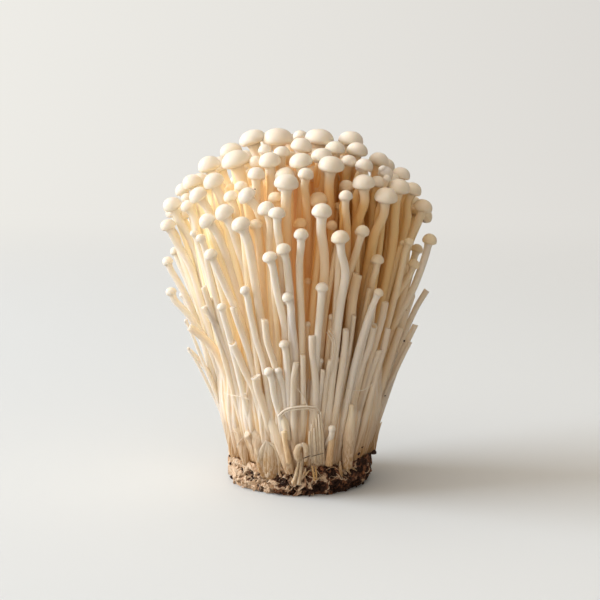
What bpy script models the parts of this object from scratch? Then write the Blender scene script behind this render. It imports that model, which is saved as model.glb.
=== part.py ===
"""An enoki mushroom bunch standing on the plug of growing medium that it was cut out with.

The plug was pressed in the round neck of a culture bottle, so it has a flat underside and a crumbly
side. The mushrooms grow packed together out of its top, fan outwards like a bouquet and end in
small domed caps, with shorter pins and broken stems low on the flank. All the mushrooms are grown
together at the foot, so they are one solid; the growing medium is the other.

Units: the tables and sizes below are millimetres, and MM turns them into Blender's metres.
+Z is up, the origin is the centre of the plug's underside, and the front faces -Y.
"""

import math
import random

import bmesh
import bpy
from mathutils import Matrix, Vector, noise

MM = 0.001
SEED = 11
WELD = 0.01
SHARP = math.radians(50.0)

# The plain finish of each solid: its colour and its roughness.
FLESH = ((0.88, 0.79, 0.62), 0.5)
CRUMB = ((0.22, 0.13, 0.075), 0.9)

# The growing medium: a round plug with a plain shallow hole in its top for the foot of the bunch.
PLUG_R = 29.0
PLUG_FLAT_R = 25.8
RIM_Z = 11.0
HOLE_FLOOR_Z = 6.4
HOLE_FLOOR_R = 26.4
HOLE_MOUTH_R = 27.3
PLUG_SIDES = 72
SIDE_RINGS = 7
SIDE_SWEEP = math.radians(80.0)
SIDE_BULGE = 1.0
SIDE_SQUARE = 0.3

# Its crumbly relief: the pitch and size of each roughness, and how far down and up it may go.
CRUMBS = ((0.22, 1.0), (0.55, 0.55))
RELIEF = 1.0
DEEPEST = -0.5
RIM_RELIEF = 1.1
RIM_HIGHEST = 0.3
PLAIN_EDGE = 0.2

# The wood chips and husks that stand out of its side.
CHIP_COUNT = 22
CHIP_LENGTH = (2.6, 4.6)
CHIP_THICK = (1.4, 2.2)
CHIP_SIDES = 5
CHIP_TAPER = 0.6
CHIP_SUNK = 0.3
CHIP_MARGIN = 2.6

# The bunch: the surface that runs through the caps, a flaring flank under an egg-shaped dome.
FOOT_SKIN_R = 27.5
SPREAD_R = 53.0
SHOULDER_Z = 100.0
CROWN_Z = 140.0
FLARE = 1.12

# The core: where the stems are grown together, inside the outermost ones.
CORE_FOOT_Z = 6.8
CORE_FOOT_R = 25.9
CORE_BROW_Z = 14.0
CORE_WAIST_Z = 30.0
CORE_INSET = 2.9
CORE_FUSED_Z = 44.0
CORE_TOP_Z = 98.0
CORE_DOME_RINGS = 4
CORE_SIDES = 42
CORE_RIDGE = (1.1, 2.3)
RIDGED_FROM_R = 7.8

# The stems and their roots.
ROOT_Z = 14.2
ROOT_R = 28.2
ROOT_LEAN = math.tan(math.radians(16.5))
BEND_SHARE = 0.5
TUCK = 0.08
STEM_SIDES = 5
STEM_LEAST = 1.4
STEM_PER_CAP = 0.23
FOOT_SWELL = 1.12
INNER_SHARE = 0.74
INNER_START = 0.36

# A cap turned about its stem: each ring's radius and height, as shares of the cap's width.
CAP_RINGS = ((0.50, -0.15), (0.46, 0.10), (0.17, 0.32))
NECK_DROP = 0.25

# Where the front view was taken from: every place in the tables below was read on the upright plane
# through the axis, so what stands nearer is carried along the line of sight to its own depth.
EYE = Vector((0.0, -565.0, 153.0))
EDGE_DEPTH = 16.0
SIGHT_STEPS = 4

# Mushrooms that show plainly in front: across and up in the front view, the cap's width, and how
# near: 1 is the skin of the bunch facing us, 0 the plane through the axis, below 0 behind it.
CROWN = (
    (-19.2, 138.7, 11.0, 0.2),
    (-8.8, 139.0, 12.4, 0.3),
    (0.0, 139.4, 6.0, -0.6),
    (7.5, 139.0, 12.0, 0.2),
    (20.3, 138.3, 10.0, 0.0),
    (0.8, 135.8, 8.5, 0.8),
    (-14.0, 134.2, 5.5, 0.8),
    (-7.3, 133.2, 6.5, 0.9),
    (14.2, 134.8, 8.0, 0.7),
    (22.6, 134.0, 8.8, 0.6),
    (8.3, 131.8, 8.5, 1.0),
    (0.0, 129.8, 9.5, 1.0),
    (-12.3, 130.0, 9.0, 1.0),
    (12.3, 128.3, 10.5, 1.05),
    (19.6, 129.6, 6.5, 0.7),
    (25.7, 128.0, 7.2, 0.9),
    (31.4, 130.2, 8.2, 0.1),
    (34.4, 125.0, 6.0, 0.8),
    (40.5, 124.5, 7.4, 0.2),
    (-27.5, 134.0, 9.0, -0.2),
    (-26.0, 130.2, 11.5, 0.8),
    (-36.4, 128.2, 9.3, 0.2),
    (-17.5, 124.6, 7.3, 0.95),
    (-6.3, 124.0, 8.5, 0.82),
    (-5.2, 121.3, 10.0, 1.05),
    (2.5, 124.5, 6.5, 0.95),
)
SHOULDER = (
    (-34.8, 121.8, 8.8, 0.9),
    (-43.3, 121.3, 8.0, 0.2),
    (-47.0, 118.3, 7.0, -0.2),
    (-41.0, 116.2, 8.0, 0.9),
    (-45.2, 111.8, 6.0, 0.7),
    (-51.3, 112.3, 7.8, 0.6),
    (-23.6, 119.7, 5.6, 0.8),
    (-27.8, 115.6, 6.0, 0.85),
    (-21.5, 116.0, 8.0, 1.0),
    (-10.0, 115.0, 6.0, 0.8),
    (-13.6, 110.8, 7.3, 0.97),
    (-9.1, 109.0, 7.0, 1.03),
    (-30.7, 109.2, 8.0, 1.0),
    (-37.4, 106.0, 7.0, 1.0),
    (-23.8, 104.6, 8.0, 1.03),
    (-17.6, 104.4, 5.5, 0.85),
    (7.2, 114.5, 7.5, 0.72),
    (8.8, 109.8, 8.3, 1.05),
    (18.5, 119.8, 6.0, 0.7),
    (18.2, 115.8, 5.6, 1.0),
    (25.2, 121.2, 9.3, 1.0),
    (31.0, 121.3, 6.5, 0.7),
    (39.2, 119.5, 9.5, 0.85),
    (45.2, 118.3, 7.5, 0.4),
    (34.2, 115.8, 9.3, 1.0),
    (49.3, 111.6, 7.8, 0.4),
    (0.4, 100.4, 6.0, 1.0),
    (0.2, 104.8, 6.0, 0.7),
    (16.0, 99.2, 7.5, 1.05),
    (25.3, 101.8, 5.6, 0.95),
    (-53.0, 104.2, 6.3, 0.7),
    (51.9, 98.3, 6.0, 0.5),
)
FLANK = (
    (-42.5, 100.8, 3.5, 0.8),
    (-39.8, 98.9, 4.2, 0.95),
    (-50.2, 93.5, 4.2, -0.6),
    (-53.3, 89.5, 4.5, 0.2),
    (-36.0, 92.3, 5.7, 1.0),
    (-6.8, 94.5, 6.2, 1.0),
    (-12.2, 91.3, 6.2, 1.02),
    (43.7, 97.3, 4.0, 0.7),
    (47.0, 94.5, 5.0, -0.3),
    (45.8, 88.3, 5.0, 0.5),
    (31.2, 90.3, 5.3, 0.85),
    (-52.0, 77.3, 4.5, 0.5),
    (-47.2, 76.0, 3.2, -0.5),
    (-22.3, 77.8, 4.2, 1.0),
    (-35.5, 74.2, 3.2, 0.8),
    (-31.6, 71.0, 4.0, 1.0),
    (-5.1, 75.0, 5.0, 1.0),
    (8.8, 79.0, 5.2, 1.0),
    (31.7, 76.9, 4.0, 1.05),
    (-6.5, 55.8, 4.3, 1.0),
    (-12.8, 44.5, 4.1, 1.03),
    (-8.7, 45.0, 3.3, 1.0),
    (13.2, 21.0, 2.8, 1.0),
)
# Broken and capless stems, read the same way: across, up, the stem's width and how near.
BROKEN = (
    (-38.5, 71.0, 3.0, 1.0),
    (-27.0, 70.5, 2.6, 1.0),
    (-44.5, 62.5, 3.4, 0.8),
    (-44.7, 53.0, 1.9, -0.3),
    (-27.3, 56.0, 3.0, 1.0),
    (-14.2, 65.5, 2.8, 1.0),
    (-18.0, 42.3, 3.4, 1.0),
    (4.8, 59.0, 2.8, 1.0),
    (1.2, 51.0, 2.1, 1.0),
    (-1.6, 48.0, 2.5, 1.0),
    (12.4, 49.0, 2.2, 1.0),
    (18.6, 61.5, 2.6, 1.0),
    (21.8, 67.3, 1.9, 0.95),
    (29.8, 63.0, 2.8, 1.02),
    (34.3, 72.5, 3.0, 0.95),
    (51.0, 77.5, 2.4, -0.2),
    (46.5, 63.3, 2.3, 0.5),
    (20.8, 31.0, 3.2, 1.0),
    (-6.0, 18.7, 2.2, 1.0),
    (-21.7, 18.3, 2.6, 1.0),
)

# The rest of the bunch, which the front view doesn't show, follows a spiral over the skin. On top of
# the dome it stands a little lower than the mushrooms in front of it, which hide it from the front.
GOLDEN_ANGLE = math.pi * (3.0 - math.sqrt(5.0))
DOME_COUNT = 138
DOME_TOP_Z = 139.5
DOME_RIM_Z = 101.0
DOME_CAP = (6.5, 11.0)
FLANK_COUNT = 40
FLANK_LOW_Z = 46.0
FLANK_CAP = (3.8, 6.4)
FAR_REACH = (0.93, 0.99)
FAR_Y = 0.0
TOP_Z = 119.0
TOP_FRONT_Y = -26.0
TOP_SINK = 3.5
ELBOW_ROOM = 0.56
FAR_BROKEN_COUNT = 14
FAR_BROKEN_Z = (28.0, 72.0)
FAR_BROKEN_WIDTH = 2.8
FAR_BROKEN_REACH = (0.98, 1.03)


def clear_scene():
    """Empties the scene, so that it holds only the object."""
    for obj in list(bpy.data.objects):
        bpy.data.objects.remove(obj, do_unlink=True)


def collection(name, hidden=False):
    """A collection linked to the scene; a hidden one holds what is used up in the making."""
    made = bpy.data.collections.new(name)
    made.hide_render = hidden
    bpy.context.scene.collection.children.link(made)
    return made


def material(name, colour, roughness):
    """A plain surface of this colour."""
    made = bpy.data.materials.new(name)
    made.use_nodes = True
    shader = made.node_tree.nodes["Principled BSDF"]
    shader.inputs["Base Color"].default_value = (*colour, 1.0)
    shader.inputs["Roughness"].default_value = roughness
    shader.inputs["Metallic"].default_value = 0.0
    return made


def skin(height):
    """The radius of the surface through the caps at this height."""
    if height < SHOULDER_Z:
        share = max(0.0, height) / SHOULDER_Z
        return FOOT_SKIN_R + (SPREAD_R - FOOT_SKIN_R) * share**FLARE
    rise = min(1.0, (height - SHOULDER_Z) / (CROWN_Z - SHOULDER_Z))
    return SPREAD_R * math.sqrt(1.0 - rise * rise)


def seen_at(across, up, near):
    """The point of the bunch that the front view shows at (across, up)."""
    on_plane = Vector((across, 0.0, up))
    place = on_plane.copy()
    for _ in range(SIGHT_STEPS):
        chord = skin(place.z) ** 2 - place.x**2
        depth = -near * math.sqrt(max(EDGE_DEPTH**2, chord))
        place = EYE.lerp(on_plane, (depth - EYE.y) / -EYE.y)
    return place


def root_of(tip, rng):
    """Where a stem with this tip roots: stems keep their order from the foot to the skin."""
    share = math.hypot(tip.x, tip.y) / skin(min(tip.z, SHOULDER_Z))
    share = min(1.0, share)
    away = Vector((tip.x, tip.y, 0.0)).normalized()
    root = away * ROOT_R * share * (1.0 - rng.uniform(0.0, TUCK))
    root.z = ROOT_Z
    return root, away, share


def stem_points(tip, rng):
    """Points along a stem from its root, or from inside the core, to its tip, and its end's direction."""
    root, away, share = root_of(tip, rng)
    rise = (tip.z - root.z) * BEND_SHARE
    bend = root + (away * ROOT_LEAN * share + Vector((0.0, 0.0, 1.0))) * rise
    stations = (0.0, 0.5, 1.0) if share > INNER_SHARE else (INNER_START, 1.0)
    points = [root.lerp(bend, t).lerp(bend.lerp(tip, t), t) for t in stations]
    return points, (tip - bend).normalized()


def ring_profile(into):
    """The cross-section of every stem and cap: a regular polygon one millimetre in radius."""
    data = bpy.data.curves.new("ring", "CURVE")
    data.dimensions = "2D"
    spline = data.splines.new("POLY")
    spline.points.add(STEM_SIDES - 1)
    for i, spot in enumerate(spline.points):
        turn = 2.0 * math.pi * i / STEM_SIDES
        spot.co = (MM * math.cos(turn), MM * math.sin(turn), 0.0, 1.0)
    spline.use_cyclic_u = True
    made = bpy.data.objects.new("ring", data)
    into.objects.link(made)
    return made


def tube_curve(name, points, radii, ring, into):
    """A closed round form swept along points: a curve whose bevel follows the radii."""
    data = bpy.data.curves.new(name, "CURVE")
    data.dimensions = "3D"
    data.bevel_mode = "OBJECT"
    data.bevel_object = ring
    data.use_fill_caps = True
    spline = data.splines.new("POLY")
    spline.points.add(len(points) - 1)
    for spot, point, radius in zip(spline.points, points, radii):
        spot.co = (*(point * MM), 1.0)
        spot.radius = radius
    made = bpy.data.objects.new(name, data)
    into.objects.link(made)
    return made


def mushroom(index, tip, cap, ring, rng, into):
    """One mushroom: a stem that ends in a domed cap with its lower edge turned in."""
    stem_r = 0.5 * (STEM_LEAST + STEM_PER_CAP * cap)
    points, axis = stem_points(tip - Vector((0.0, 0.0, NECK_DROP * cap)), rng)
    centre = points[-1] + axis * NECK_DROP * cap
    radii = [stem_r * FOOT_SWELL] + [stem_r] * (len(points) - 1)
    for ring_radius, ring_height in CAP_RINGS:
        points.append(centre + axis * ring_height * cap)
        radii.append(ring_radius * cap)
    return tube_curve(f"mushroom_{index:03d}", points, radii, ring, into)


def broken_stem(index, tip, width, ring, rng, into):
    """A short stem with no cap, cut off square."""
    points, _ = stem_points(tip, rng)
    radii = [0.5 * width * FOOT_SWELL] + [0.5 * width] * (len(points) - 1)
    return tube_curve(f"broken_{index:03d}", points, radii, ring, into)


def skin_spots():
    """Heights and widths of the caps that fill the skin, from the top of the dome down the flank."""
    for i in range(DOME_COUNT):
        yield DOME_TOP_Z - (DOME_TOP_Z - DOME_RIM_Z) * (i + 0.5) / DOME_COUNT, DOME_CAP
    for i in range(FLANK_COUNT):
        yield DOME_RIM_Z - (DOME_RIM_Z - FLANK_LOW_Z) * (i + 0.5) / FLANK_COUNT, FLANK_CAP


def far_side(front, rng):
    """Tips and widths behind and above the front ones: a golden-angle spiral that keeps clear of them."""
    found = []
    for i, (height, widths) in enumerate(skin_spots()):
        turn = i * GOLDEN_ANGLE
        cap = rng.uniform(*widths)
        reach = skin(height) * rng.uniform(*FAR_REACH)
        tip = Vector((reach * math.cos(turn), reach * math.sin(turn), height))
        if tip.y < FAR_Y:
            tip.z -= TOP_SINK
        wanted = tip.y > FAR_Y or (tip.z > TOP_Z and tip.y > TOP_FRONT_Y)
        crowded = any((tip - other).length < ELBOW_ROOM * (cap + width) for other, width in front + found)
        if wanted and not crowded:
            found.append((tip, cap))
    return found


def far_side_broken(rng):
    """Broken stems on the far side, lower down than the caps."""
    found = []
    for i in range(FAR_BROKEN_COUNT):
        turn = math.pi * (i + 0.5) / FAR_BROKEN_COUNT
        height = rng.uniform(*FAR_BROKEN_Z)
        reach = skin(height) * rng.uniform(*FAR_BROKEN_REACH)
        tip = Vector((reach * math.cos(turn), reach * math.sin(turn), height))
        found.append((tip, FAR_BROKEN_WIDTH))
    return found


def meshed(curve, into):
    """A curve object made a closed mesh object of the same name and place."""
    graph = bpy.context.evaluated_depsgraph_get()
    mesh = bpy.data.meshes.new_from_object(curve.evaluated_get(graph))
    work = bmesh.new()
    work.from_mesh(mesh)
    bmesh.ops.remove_doubles(work, verts=work.verts, dist=WELD * MM)
    bmesh.ops.recalc_face_normals(work, faces=work.faces)
    work.to_mesh(mesh)
    work.free()
    name = curve.name
    made = bpy.data.objects.new(name + "_mesh", mesh)
    made.matrix_world = curve.matrix_world
    bpy.data.objects.remove(curve, do_unlink=True)
    into.objects.link(made)
    return made


def turned(name, profile, sides, into):
    """A solid turned about the axis from a profile of (radius, height) that runs down its outer side."""
    mesh = bpy.data.meshes.new(name)
    work = bmesh.new()
    spots = [work.verts.new((radius * MM, 0.0, height * MM)) for radius, height in profile]
    for first, second in zip(spots, spots[1:]):
        work.edges.new((first, second))
    work.to_mesh(mesh)
    work.free()
    made = bpy.data.objects.new(name, mesh)
    into.objects.link(made)
    screw = made.modifiers.new("turn", "SCREW")
    screw.steps = sides
    screw.render_steps = sides
    screw.use_merge_vertices = True
    screw.merge_threshold = 0.00001
    screw.use_normal_calculate = True
    applied(made)
    return made


def applied(obj):
    """Replaces an object's mesh with what its modifiers make of it."""
    bpy.context.view_layer.update()
    graph = bpy.context.evaluated_depsgraph_get()
    mesh = bpy.data.meshes.new_from_object(obj.evaluated_get(graph))
    obj.modifiers.clear()
    old = obj.data
    obj.data = mesh
    bpy.data.meshes.remove(old)


def fused(obj, pieces):
    """Joins the objects of a collection to obj as one solid, and removes them."""
    union = obj.modifiers.new("grown_together", "BOOLEAN")
    union.operation = "UNION"
    union.operand_type = "COLLECTION"
    union.collection = pieces
    applied(obj)
    for piece in list(pieces.objects):
        bpy.data.objects.remove(piece, do_unlink=True)
    bpy.data.collections.remove(pieces)


def core_profile():
    """Down the outside of the core: a dome inside the bunch, then the flank just under the skin."""
    profile = [(0.0, CORE_TOP_Z)]
    reach = skin(CORE_FUSED_Z) - CORE_INSET
    for i in range(1, CORE_DOME_RINGS + 1):
        turn = 0.5 * math.pi * i / CORE_DOME_RINGS
        height = CORE_FUSED_Z + (CORE_TOP_Z - CORE_FUSED_Z) * math.cos(turn)
        profile.append((reach * math.sin(turn), height))
    for height in (CORE_WAIST_Z, CORE_BROW_Z):
        profile.append((skin(height) - CORE_INSET, height))
    profile.append((CORE_FOOT_R, RIM_Z))
    profile.append((CORE_FOOT_R, CORE_FOOT_Z))
    profile.append((0.0, CORE_FOOT_Z))
    return profile


def ridged(core, rng):
    """Every second column of the core's side stands out, so that it reads as stems grown together."""
    furrows = [rng.uniform(*CORE_RIDGE) if i % 2 else 0.0 for i in range(CORE_SIDES)]
    for vertex in core.data.vertices:
        radius = math.hypot(vertex.co.x, vertex.co.y) / MM
        if vertex.co.z > RIM_Z * MM + WELD * MM and radius > RIDGED_FROM_R:
            turn = math.atan2(vertex.co.y, vertex.co.x) / (2.0 * math.pi)
            swell = 1.0 + furrows[round(turn * CORE_SIDES) % CORE_SIDES] / radius
            vertex.co.x *= swell
            vertex.co.y *= swell


def make_bunch(parts):
    """The mushrooms, grown together on their core."""
    rng = random.Random(SEED)
    sprouts = collection("sprouts", hidden=True)
    ring = ring_profile(sprouts)
    front = [(seen_at(across, up, near), cap) for across, up, cap, near in CROWN + SHOULDER + FLANK]
    stubs = [(seen_at(across, up, near), width) for across, up, width, near in BROKEN]
    curves = []
    for index, (tip, cap) in enumerate(front + far_side(front, rng)):
        curves.append(mushroom(index, tip, cap, ring, rng, sprouts))
    for index, (tip, width) in enumerate(stubs + far_side_broken(rng)):
        curves.append(broken_stem(index, tip, width, ring, rng, sprouts))
    bpy.context.view_layer.update()
    for curve in curves:
        meshed(curve, sprouts)
    bpy.data.objects.remove(ring, do_unlink=True)
    bunch = turned("mushroom_bunch", core_profile(), CORE_SIDES, parts)
    ridged(bunch, rng)
    fused(bunch, sprouts)
    bunch.data.materials.clear()
    bunch.data.materials.append(material("mushroom_flesh", *FLESH))
    return bunch


def plug_profile():
    """Out along the hole's floor, over the rim, down the outer side and in along the underside."""
    profile = [(0.0, HOLE_FLOOR_Z), (HOLE_FLOOR_R, HOLE_FLOOR_Z), (HOLE_MOUTH_R, RIM_Z)]
    for i in range(SIDE_RINGS):
        turn = SIDE_SWEEP * (1.0 - 2.0 * i / (SIDE_RINGS - 1))
        bulge = SIDE_BULGE * math.cos(turn) ** SIDE_SQUARE
        profile.append((PLUG_R - SIDE_BULGE + bulge, 0.5 * RIM_Z * (1.0 + math.sin(turn))))
    return profile + [(PLUG_FLAT_R, 0.0), (0.0, 0.0)]


def roughened(plug):
    """Gives the plug's side a crumbly relief and its rim a ragged edge; hole and underside stay plain."""
    for vertex in plug.data.vertices:
        place = vertex.co / MM
        radius = math.hypot(place.x, place.y)
        lump = sum(size * noise.noise(place * pitch) for pitch, size in CRUMBS)
        if radius > HOLE_MOUTH_R + PLAIN_EDGE:
            swell = 1.0 + RELIEF * max(DEEPEST, lump) / radius
            vertex.co.x *= swell
            vertex.co.y *= swell
        if place.z > RIM_Z - PLAIN_EDGE:
            vertex.co.z += RIM_RELIEF * MM * min(RIM_HIGHEST, lump)


def make_plug(parts):
    """The growing medium, with wood chips and husks standing out of its side."""
    rng = random.Random(SEED)
    plug = turned("growing_medium", plug_profile(), PLUG_SIDES, parts)
    roughened(plug)
    chips = collection("chips", hidden=True)
    for index in range(CHIP_COUNT):
        turn = index * GOLDEN_ANGLE
        height = rng.uniform(CHIP_MARGIN, RIM_Z - CHIP_MARGIN)
        length = rng.uniform(*CHIP_LENGTH)
        radius = 0.5 * rng.uniform(*CHIP_THICK)
        tip_radius = CHIP_TAPER * radius
        mesh = bpy.data.meshes.new("chip")
        work = bmesh.new()
        bmesh.ops.create_cone(
            work, cap_ends=True, segments=CHIP_SIDES, radius1=radius, radius2=tip_radius, depth=length
        )
        tilt = Matrix.Rotation(rng.uniform(0.0, math.pi), 4, "X")
        out = Matrix.Rotation(turn, 4, "Z") @ Matrix.Translation((PLUG_R - CHIP_SUNK, 0.0, height))
        bmesh.ops.transform(work, matrix=Matrix.Scale(MM, 4) @ out @ tilt, verts=work.verts)
        work.to_mesh(mesh)
        work.free()
        chips.objects.link(bpy.data.objects.new(f"chip_{index:02d}", mesh))
    bpy.context.view_layer.update()
    fused(plug, chips)
    plug.data.materials.clear()
    plug.data.materials.append(material("pressed_crumb", *CRUMB))
    return plug


def main():
    """Builds the two solids."""
    clear_scene()
    parts = collection("enoki_mushroom_bunch")
    for made in (make_plug(parts), make_bunch(parts)):
        made.data.shade_smooth()
        made.data.set_sharp_from_angle(angle=SHARP)


main()
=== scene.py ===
"""An enoki mushroom bunch on its growing medium, dressed for a studio picture.

The CAD model gives the two solids: the bunch, grown together at its foot, and the plug of growing
medium. Here both are replaced by finer pieces that keep their form: every mushroom is modelled with
its own stem and cap, the stems run together into a ribbed foot, and the plug is crumbly, with pale
mushroom threads grown through it.

Sizes in the tables and dataclasses are millimetres. Meshes are made in metres, in the CAD frame:
+Z is up, the front faces -Y and the origin is the centre of the plug's underside.
"""

import logging  # noqa: E402
import math  # noqa: E402
import random  # noqa: E402
from collections.abc import Iterable, Iterator, Sequence  # noqa: E402
from dataclasses import dataclass, field  # noqa: E402
from enum import Enum  # noqa: E402

import bpy  # noqa: E402
import numpy as np  # noqa: E402
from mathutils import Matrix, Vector, noise  # noqa: E402


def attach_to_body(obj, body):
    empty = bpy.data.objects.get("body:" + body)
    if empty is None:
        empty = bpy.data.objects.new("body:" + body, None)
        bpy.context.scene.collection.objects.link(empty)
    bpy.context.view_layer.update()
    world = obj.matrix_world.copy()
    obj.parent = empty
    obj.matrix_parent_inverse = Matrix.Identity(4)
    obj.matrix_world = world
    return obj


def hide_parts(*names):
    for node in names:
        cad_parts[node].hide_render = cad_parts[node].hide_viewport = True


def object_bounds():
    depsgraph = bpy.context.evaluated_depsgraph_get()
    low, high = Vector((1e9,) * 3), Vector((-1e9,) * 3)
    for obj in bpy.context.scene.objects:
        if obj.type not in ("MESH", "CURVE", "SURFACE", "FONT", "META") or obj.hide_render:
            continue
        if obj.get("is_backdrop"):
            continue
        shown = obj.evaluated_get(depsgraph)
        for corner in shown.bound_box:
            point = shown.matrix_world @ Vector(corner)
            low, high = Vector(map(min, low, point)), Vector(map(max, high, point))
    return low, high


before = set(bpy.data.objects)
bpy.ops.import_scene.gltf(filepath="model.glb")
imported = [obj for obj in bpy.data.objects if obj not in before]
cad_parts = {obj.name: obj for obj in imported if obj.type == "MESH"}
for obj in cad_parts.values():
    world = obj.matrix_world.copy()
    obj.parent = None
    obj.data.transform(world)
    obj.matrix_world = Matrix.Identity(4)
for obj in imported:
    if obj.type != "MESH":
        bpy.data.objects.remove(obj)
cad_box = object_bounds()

LOG = logging.getLogger("enoki")
MM = 0.001
SEED = 11
GOLDEN_ANGLE = math.pi * (3.0 - math.sqrt(5.0))
UP = Vector((0.0, 0.0, 1.0))
# Painted glow, for light from the left shining through the flesh: how much of it is painted in at the axis
# inside the bunch, and how far it takes to fade.
LIT_SHARE = 0.38
LIT_REACH = 44.0
# Painted light: gaps turn from brown to gold from here to the left, and a little to the right, as if lit
# from the left.
GOLD_FROM = 8.0
GOLD_REACH = 45.0
# The flesh is browner from here down to where it grows out of the medium, and more so towards both sides:
# partly staining, partly painted shade.
STAIN_AND_SHADE_TOP = 30.0
STAIN_AND_SHADE_REACH = 20.0
STAIN_AND_SHADE_BREADTH = 55.0
Pixel = tuple[float, float]
Colour = tuple[float, float, float]


@dataclass(frozen=True)
class Seen:
    """A mushroom or a broken stem as the front view shows it.

    across, up and width are read on the upright plane through the axis. near is 1 on the skin of the
    bunch that faces us, 0 on the plane through the axis and below 0 behind it. lean is the cap's tilt
    to the right in degrees, and track follows the stem down in the front view's pixels.
    """

    across: float
    up: float
    width: float
    near: float = 1.0
    lean: float | None = None
    track: tuple[Pixel, ...] = ()
    hollow: bool = False


CROWN = (
    Seen(-19.2, 138.7, 11.0, 0.2, -18, ((254.5, 148), (255.5, 160))),
    Seen(-8.8, 139.0, 12.4, 0.3, -3),
    Seen(0.0, 139.4, 6.0, -0.6),
    Seen(7.5, 139.0, 12.0, 0.2, 5),
    Seen(20.3, 138.3, 10.0, 0.0, 5),
    Seen(0.8, 135.8, 8.5, 0.8, 10),
    Seen(-14.0, 134.2, 5.5, 0.8, -5),
    Seen(-7.3, 133.2, 6.5, 0.9, 0),
    Seen(14.2, 134.8, 8.0, 0.7, 5),
    Seen(22.6, 134.0, 8.8, 0.6, 8),
    Seen(8.3, 131.8, 8.5, 1.0, -15),
    Seen(0.0, 129.8, 9.5, 1.0, -10),
    Seen(-12.3, 130.0, 9.0, 1.0, -8),
    Seen(12.3, 128.3, 10.5, 1.05, 5, ((330.2, 176), (329.6, 191), (330.2, 207))),
    Seen(19.6, 129.6, 6.5, 0.7),
    Seen(25.7, 128.0, 7.2, 0.9, 10),
    Seen(31.4, 130.2, 8.2, 0.1, 10),
    Seen(34.4, 125.0, 6.0, 0.8, 20),
    Seen(40.5, 124.5, 7.4, 0.2, 15),
    Seen(-27.5, 134.0, 9.0, -0.2, -18),
    Seen(-26.0, 130.2, 11.5, 0.8, -18, ((236, 171), (236.5, 182))),
    Seen(-36.4, 128.2, 9.3, 0.2, -18),
    Seen(-17.5, 124.6, 7.3, 0.95, 0, ((256.5, 184), (259, 197))),
    Seen(-6.3, 124.0, 8.5, 0.82, -15),
    Seen(-5.2, 121.3, 10.0, 1.05, 3, ((285.8, 196), (285.8, 211), (287, 235))),
    Seen(2.5, 124.5, 6.5, 0.95, 8, ((307.9, 183), (307.4, 202))),
)
SHOULDER = (
    Seen(-34.8, 121.8, 8.8, 0.9, -24, ((219, 184), (229, 195))),
    Seen(-43.3, 121.3, 8.0, 0.2, -24),
    Seen(-47.0, 118.3, 7.0, -0.2, -28),
    Seen(-41.0, 116.2, 8.0, 0.9, -35, ((204, 200), (215, 209))),
    Seen(-45.2, 111.8, 6.0, 0.7, -31),
    Seen(-51.3, 112.3, 7.8, 0.6, -24, ((175.5, 212), (181.6, 223), (192, 240), (199.7, 265), (206, 290))),
    Seen(-23.6, 119.7, 5.6, 0.8, -10),
    Seen(-27.8, 115.6, 6.0, 0.85, -21),
    Seen(
        -21.5, 116.0, 8.0, 1.0, -38,
        ((249.5, 200), (255.5, 209), (262, 220.5), (267, 230), (269, 245), (272, 265)),
    ),
    Seen(-10.0, 115.0, 6.0, 0.8),
    Seen(-13.6, 110.8, 7.3, 0.97, -15),
    Seen(-9.1, 109.0, 7.0, 1.03, 0),
    Seen(-30.7, 109.2, 8.0, 1.0, -28, ((227, 219), (231.3, 229.5), (238, 246.6), (244.7, 265), (249, 285))),
    Seen(
        -37.4, 106.0, 7.0, 1.0, -38,
        ((209.5, 225.5), (219, 237), (225.6, 253), (232, 272), (239, 293), (250, 335)),
    ),
    Seen(
        -23.8, 104.6, 8.0, 1.03, -22,
        ((241, 231.5), (247.6, 246.6), (252.4, 265), (255, 282), (259, 305)),
    ),
    Seen(-17.6, 104.4, 5.5, 0.85, -10),
    Seen(7.2, 114.5, 7.5, 0.72),
    Seen(8.8, 109.8, 8.3, 1.05, 3, ((322.3, 215), (325.3, 237), (325, 258), (324, 280), (321, 310))),
    Seen(18.5, 119.8, 6.0, 0.7),
    Seen(18.2, 115.8, 5.6, 1.0, 0, ((346.4, 203), (347, 223), (348, 245))),
    Seen(25.2, 121.2, 9.3, 1.0, -5, ((361, 191), (361, 207), (356.7, 223), (353.5, 240), (351, 262))),
    Seen(31.0, 121.3, 6.5, 0.7, 15),
    Seen(39.2, 119.5, 9.5, 0.85, 8, ((401.2, 196), (399, 218), (392.7, 247), (388.4, 269), (383, 296))),
    Seen(45.2, 118.3, 7.5, 0.4, 21, ((415, 200), (407.7, 219), (404.4, 230), (400, 255))),
    Seen(34.2, 115.8, 9.3, 1.0, 5, ((381.7, 204), (379.5, 218), (374, 234), (370, 255), (366.7, 272))),
    Seen(49.3, 111.6, 7.8, 0.4, 18, ((420.7, 211.5), (414, 229), (410, 240), (403, 260))),
    Seen(
        0.4, 100.4, 6.0, 1.0, 0,
        ((300.6, 243), (299.5, 258), (299.5, 280), (300.6, 302), (301.7, 323), (302, 345)),
    ),
    Seen(0.2, 104.8, 6.0, 0.7),
    Seen(
        16.0, 99.2, 7.5, 1.05, -5,
        ((340.7, 244.5), (345, 258), (346, 271), (344, 285.5), (340.7, 300), (336.4, 340)),
    ),
    Seen(25.3, 101.8, 5.6, 0.95, 18, ((361.3, 237), (356, 253), (350.5, 269), (346, 285.5), (341, 305))),
    Seen(-53.0, 104.2, 6.3, 0.7, -24, ((172, 229.5), (179.7, 244), (188.3, 261), (195, 278), (201, 301))),
    Seen(
        51.9, 98.3, 6.0, 0.5, 12,
        ((428.5, 244.5), (425.3, 258), (419, 275), (410, 296), (399, 314), (392.7, 330)),
    ),
)
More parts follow.
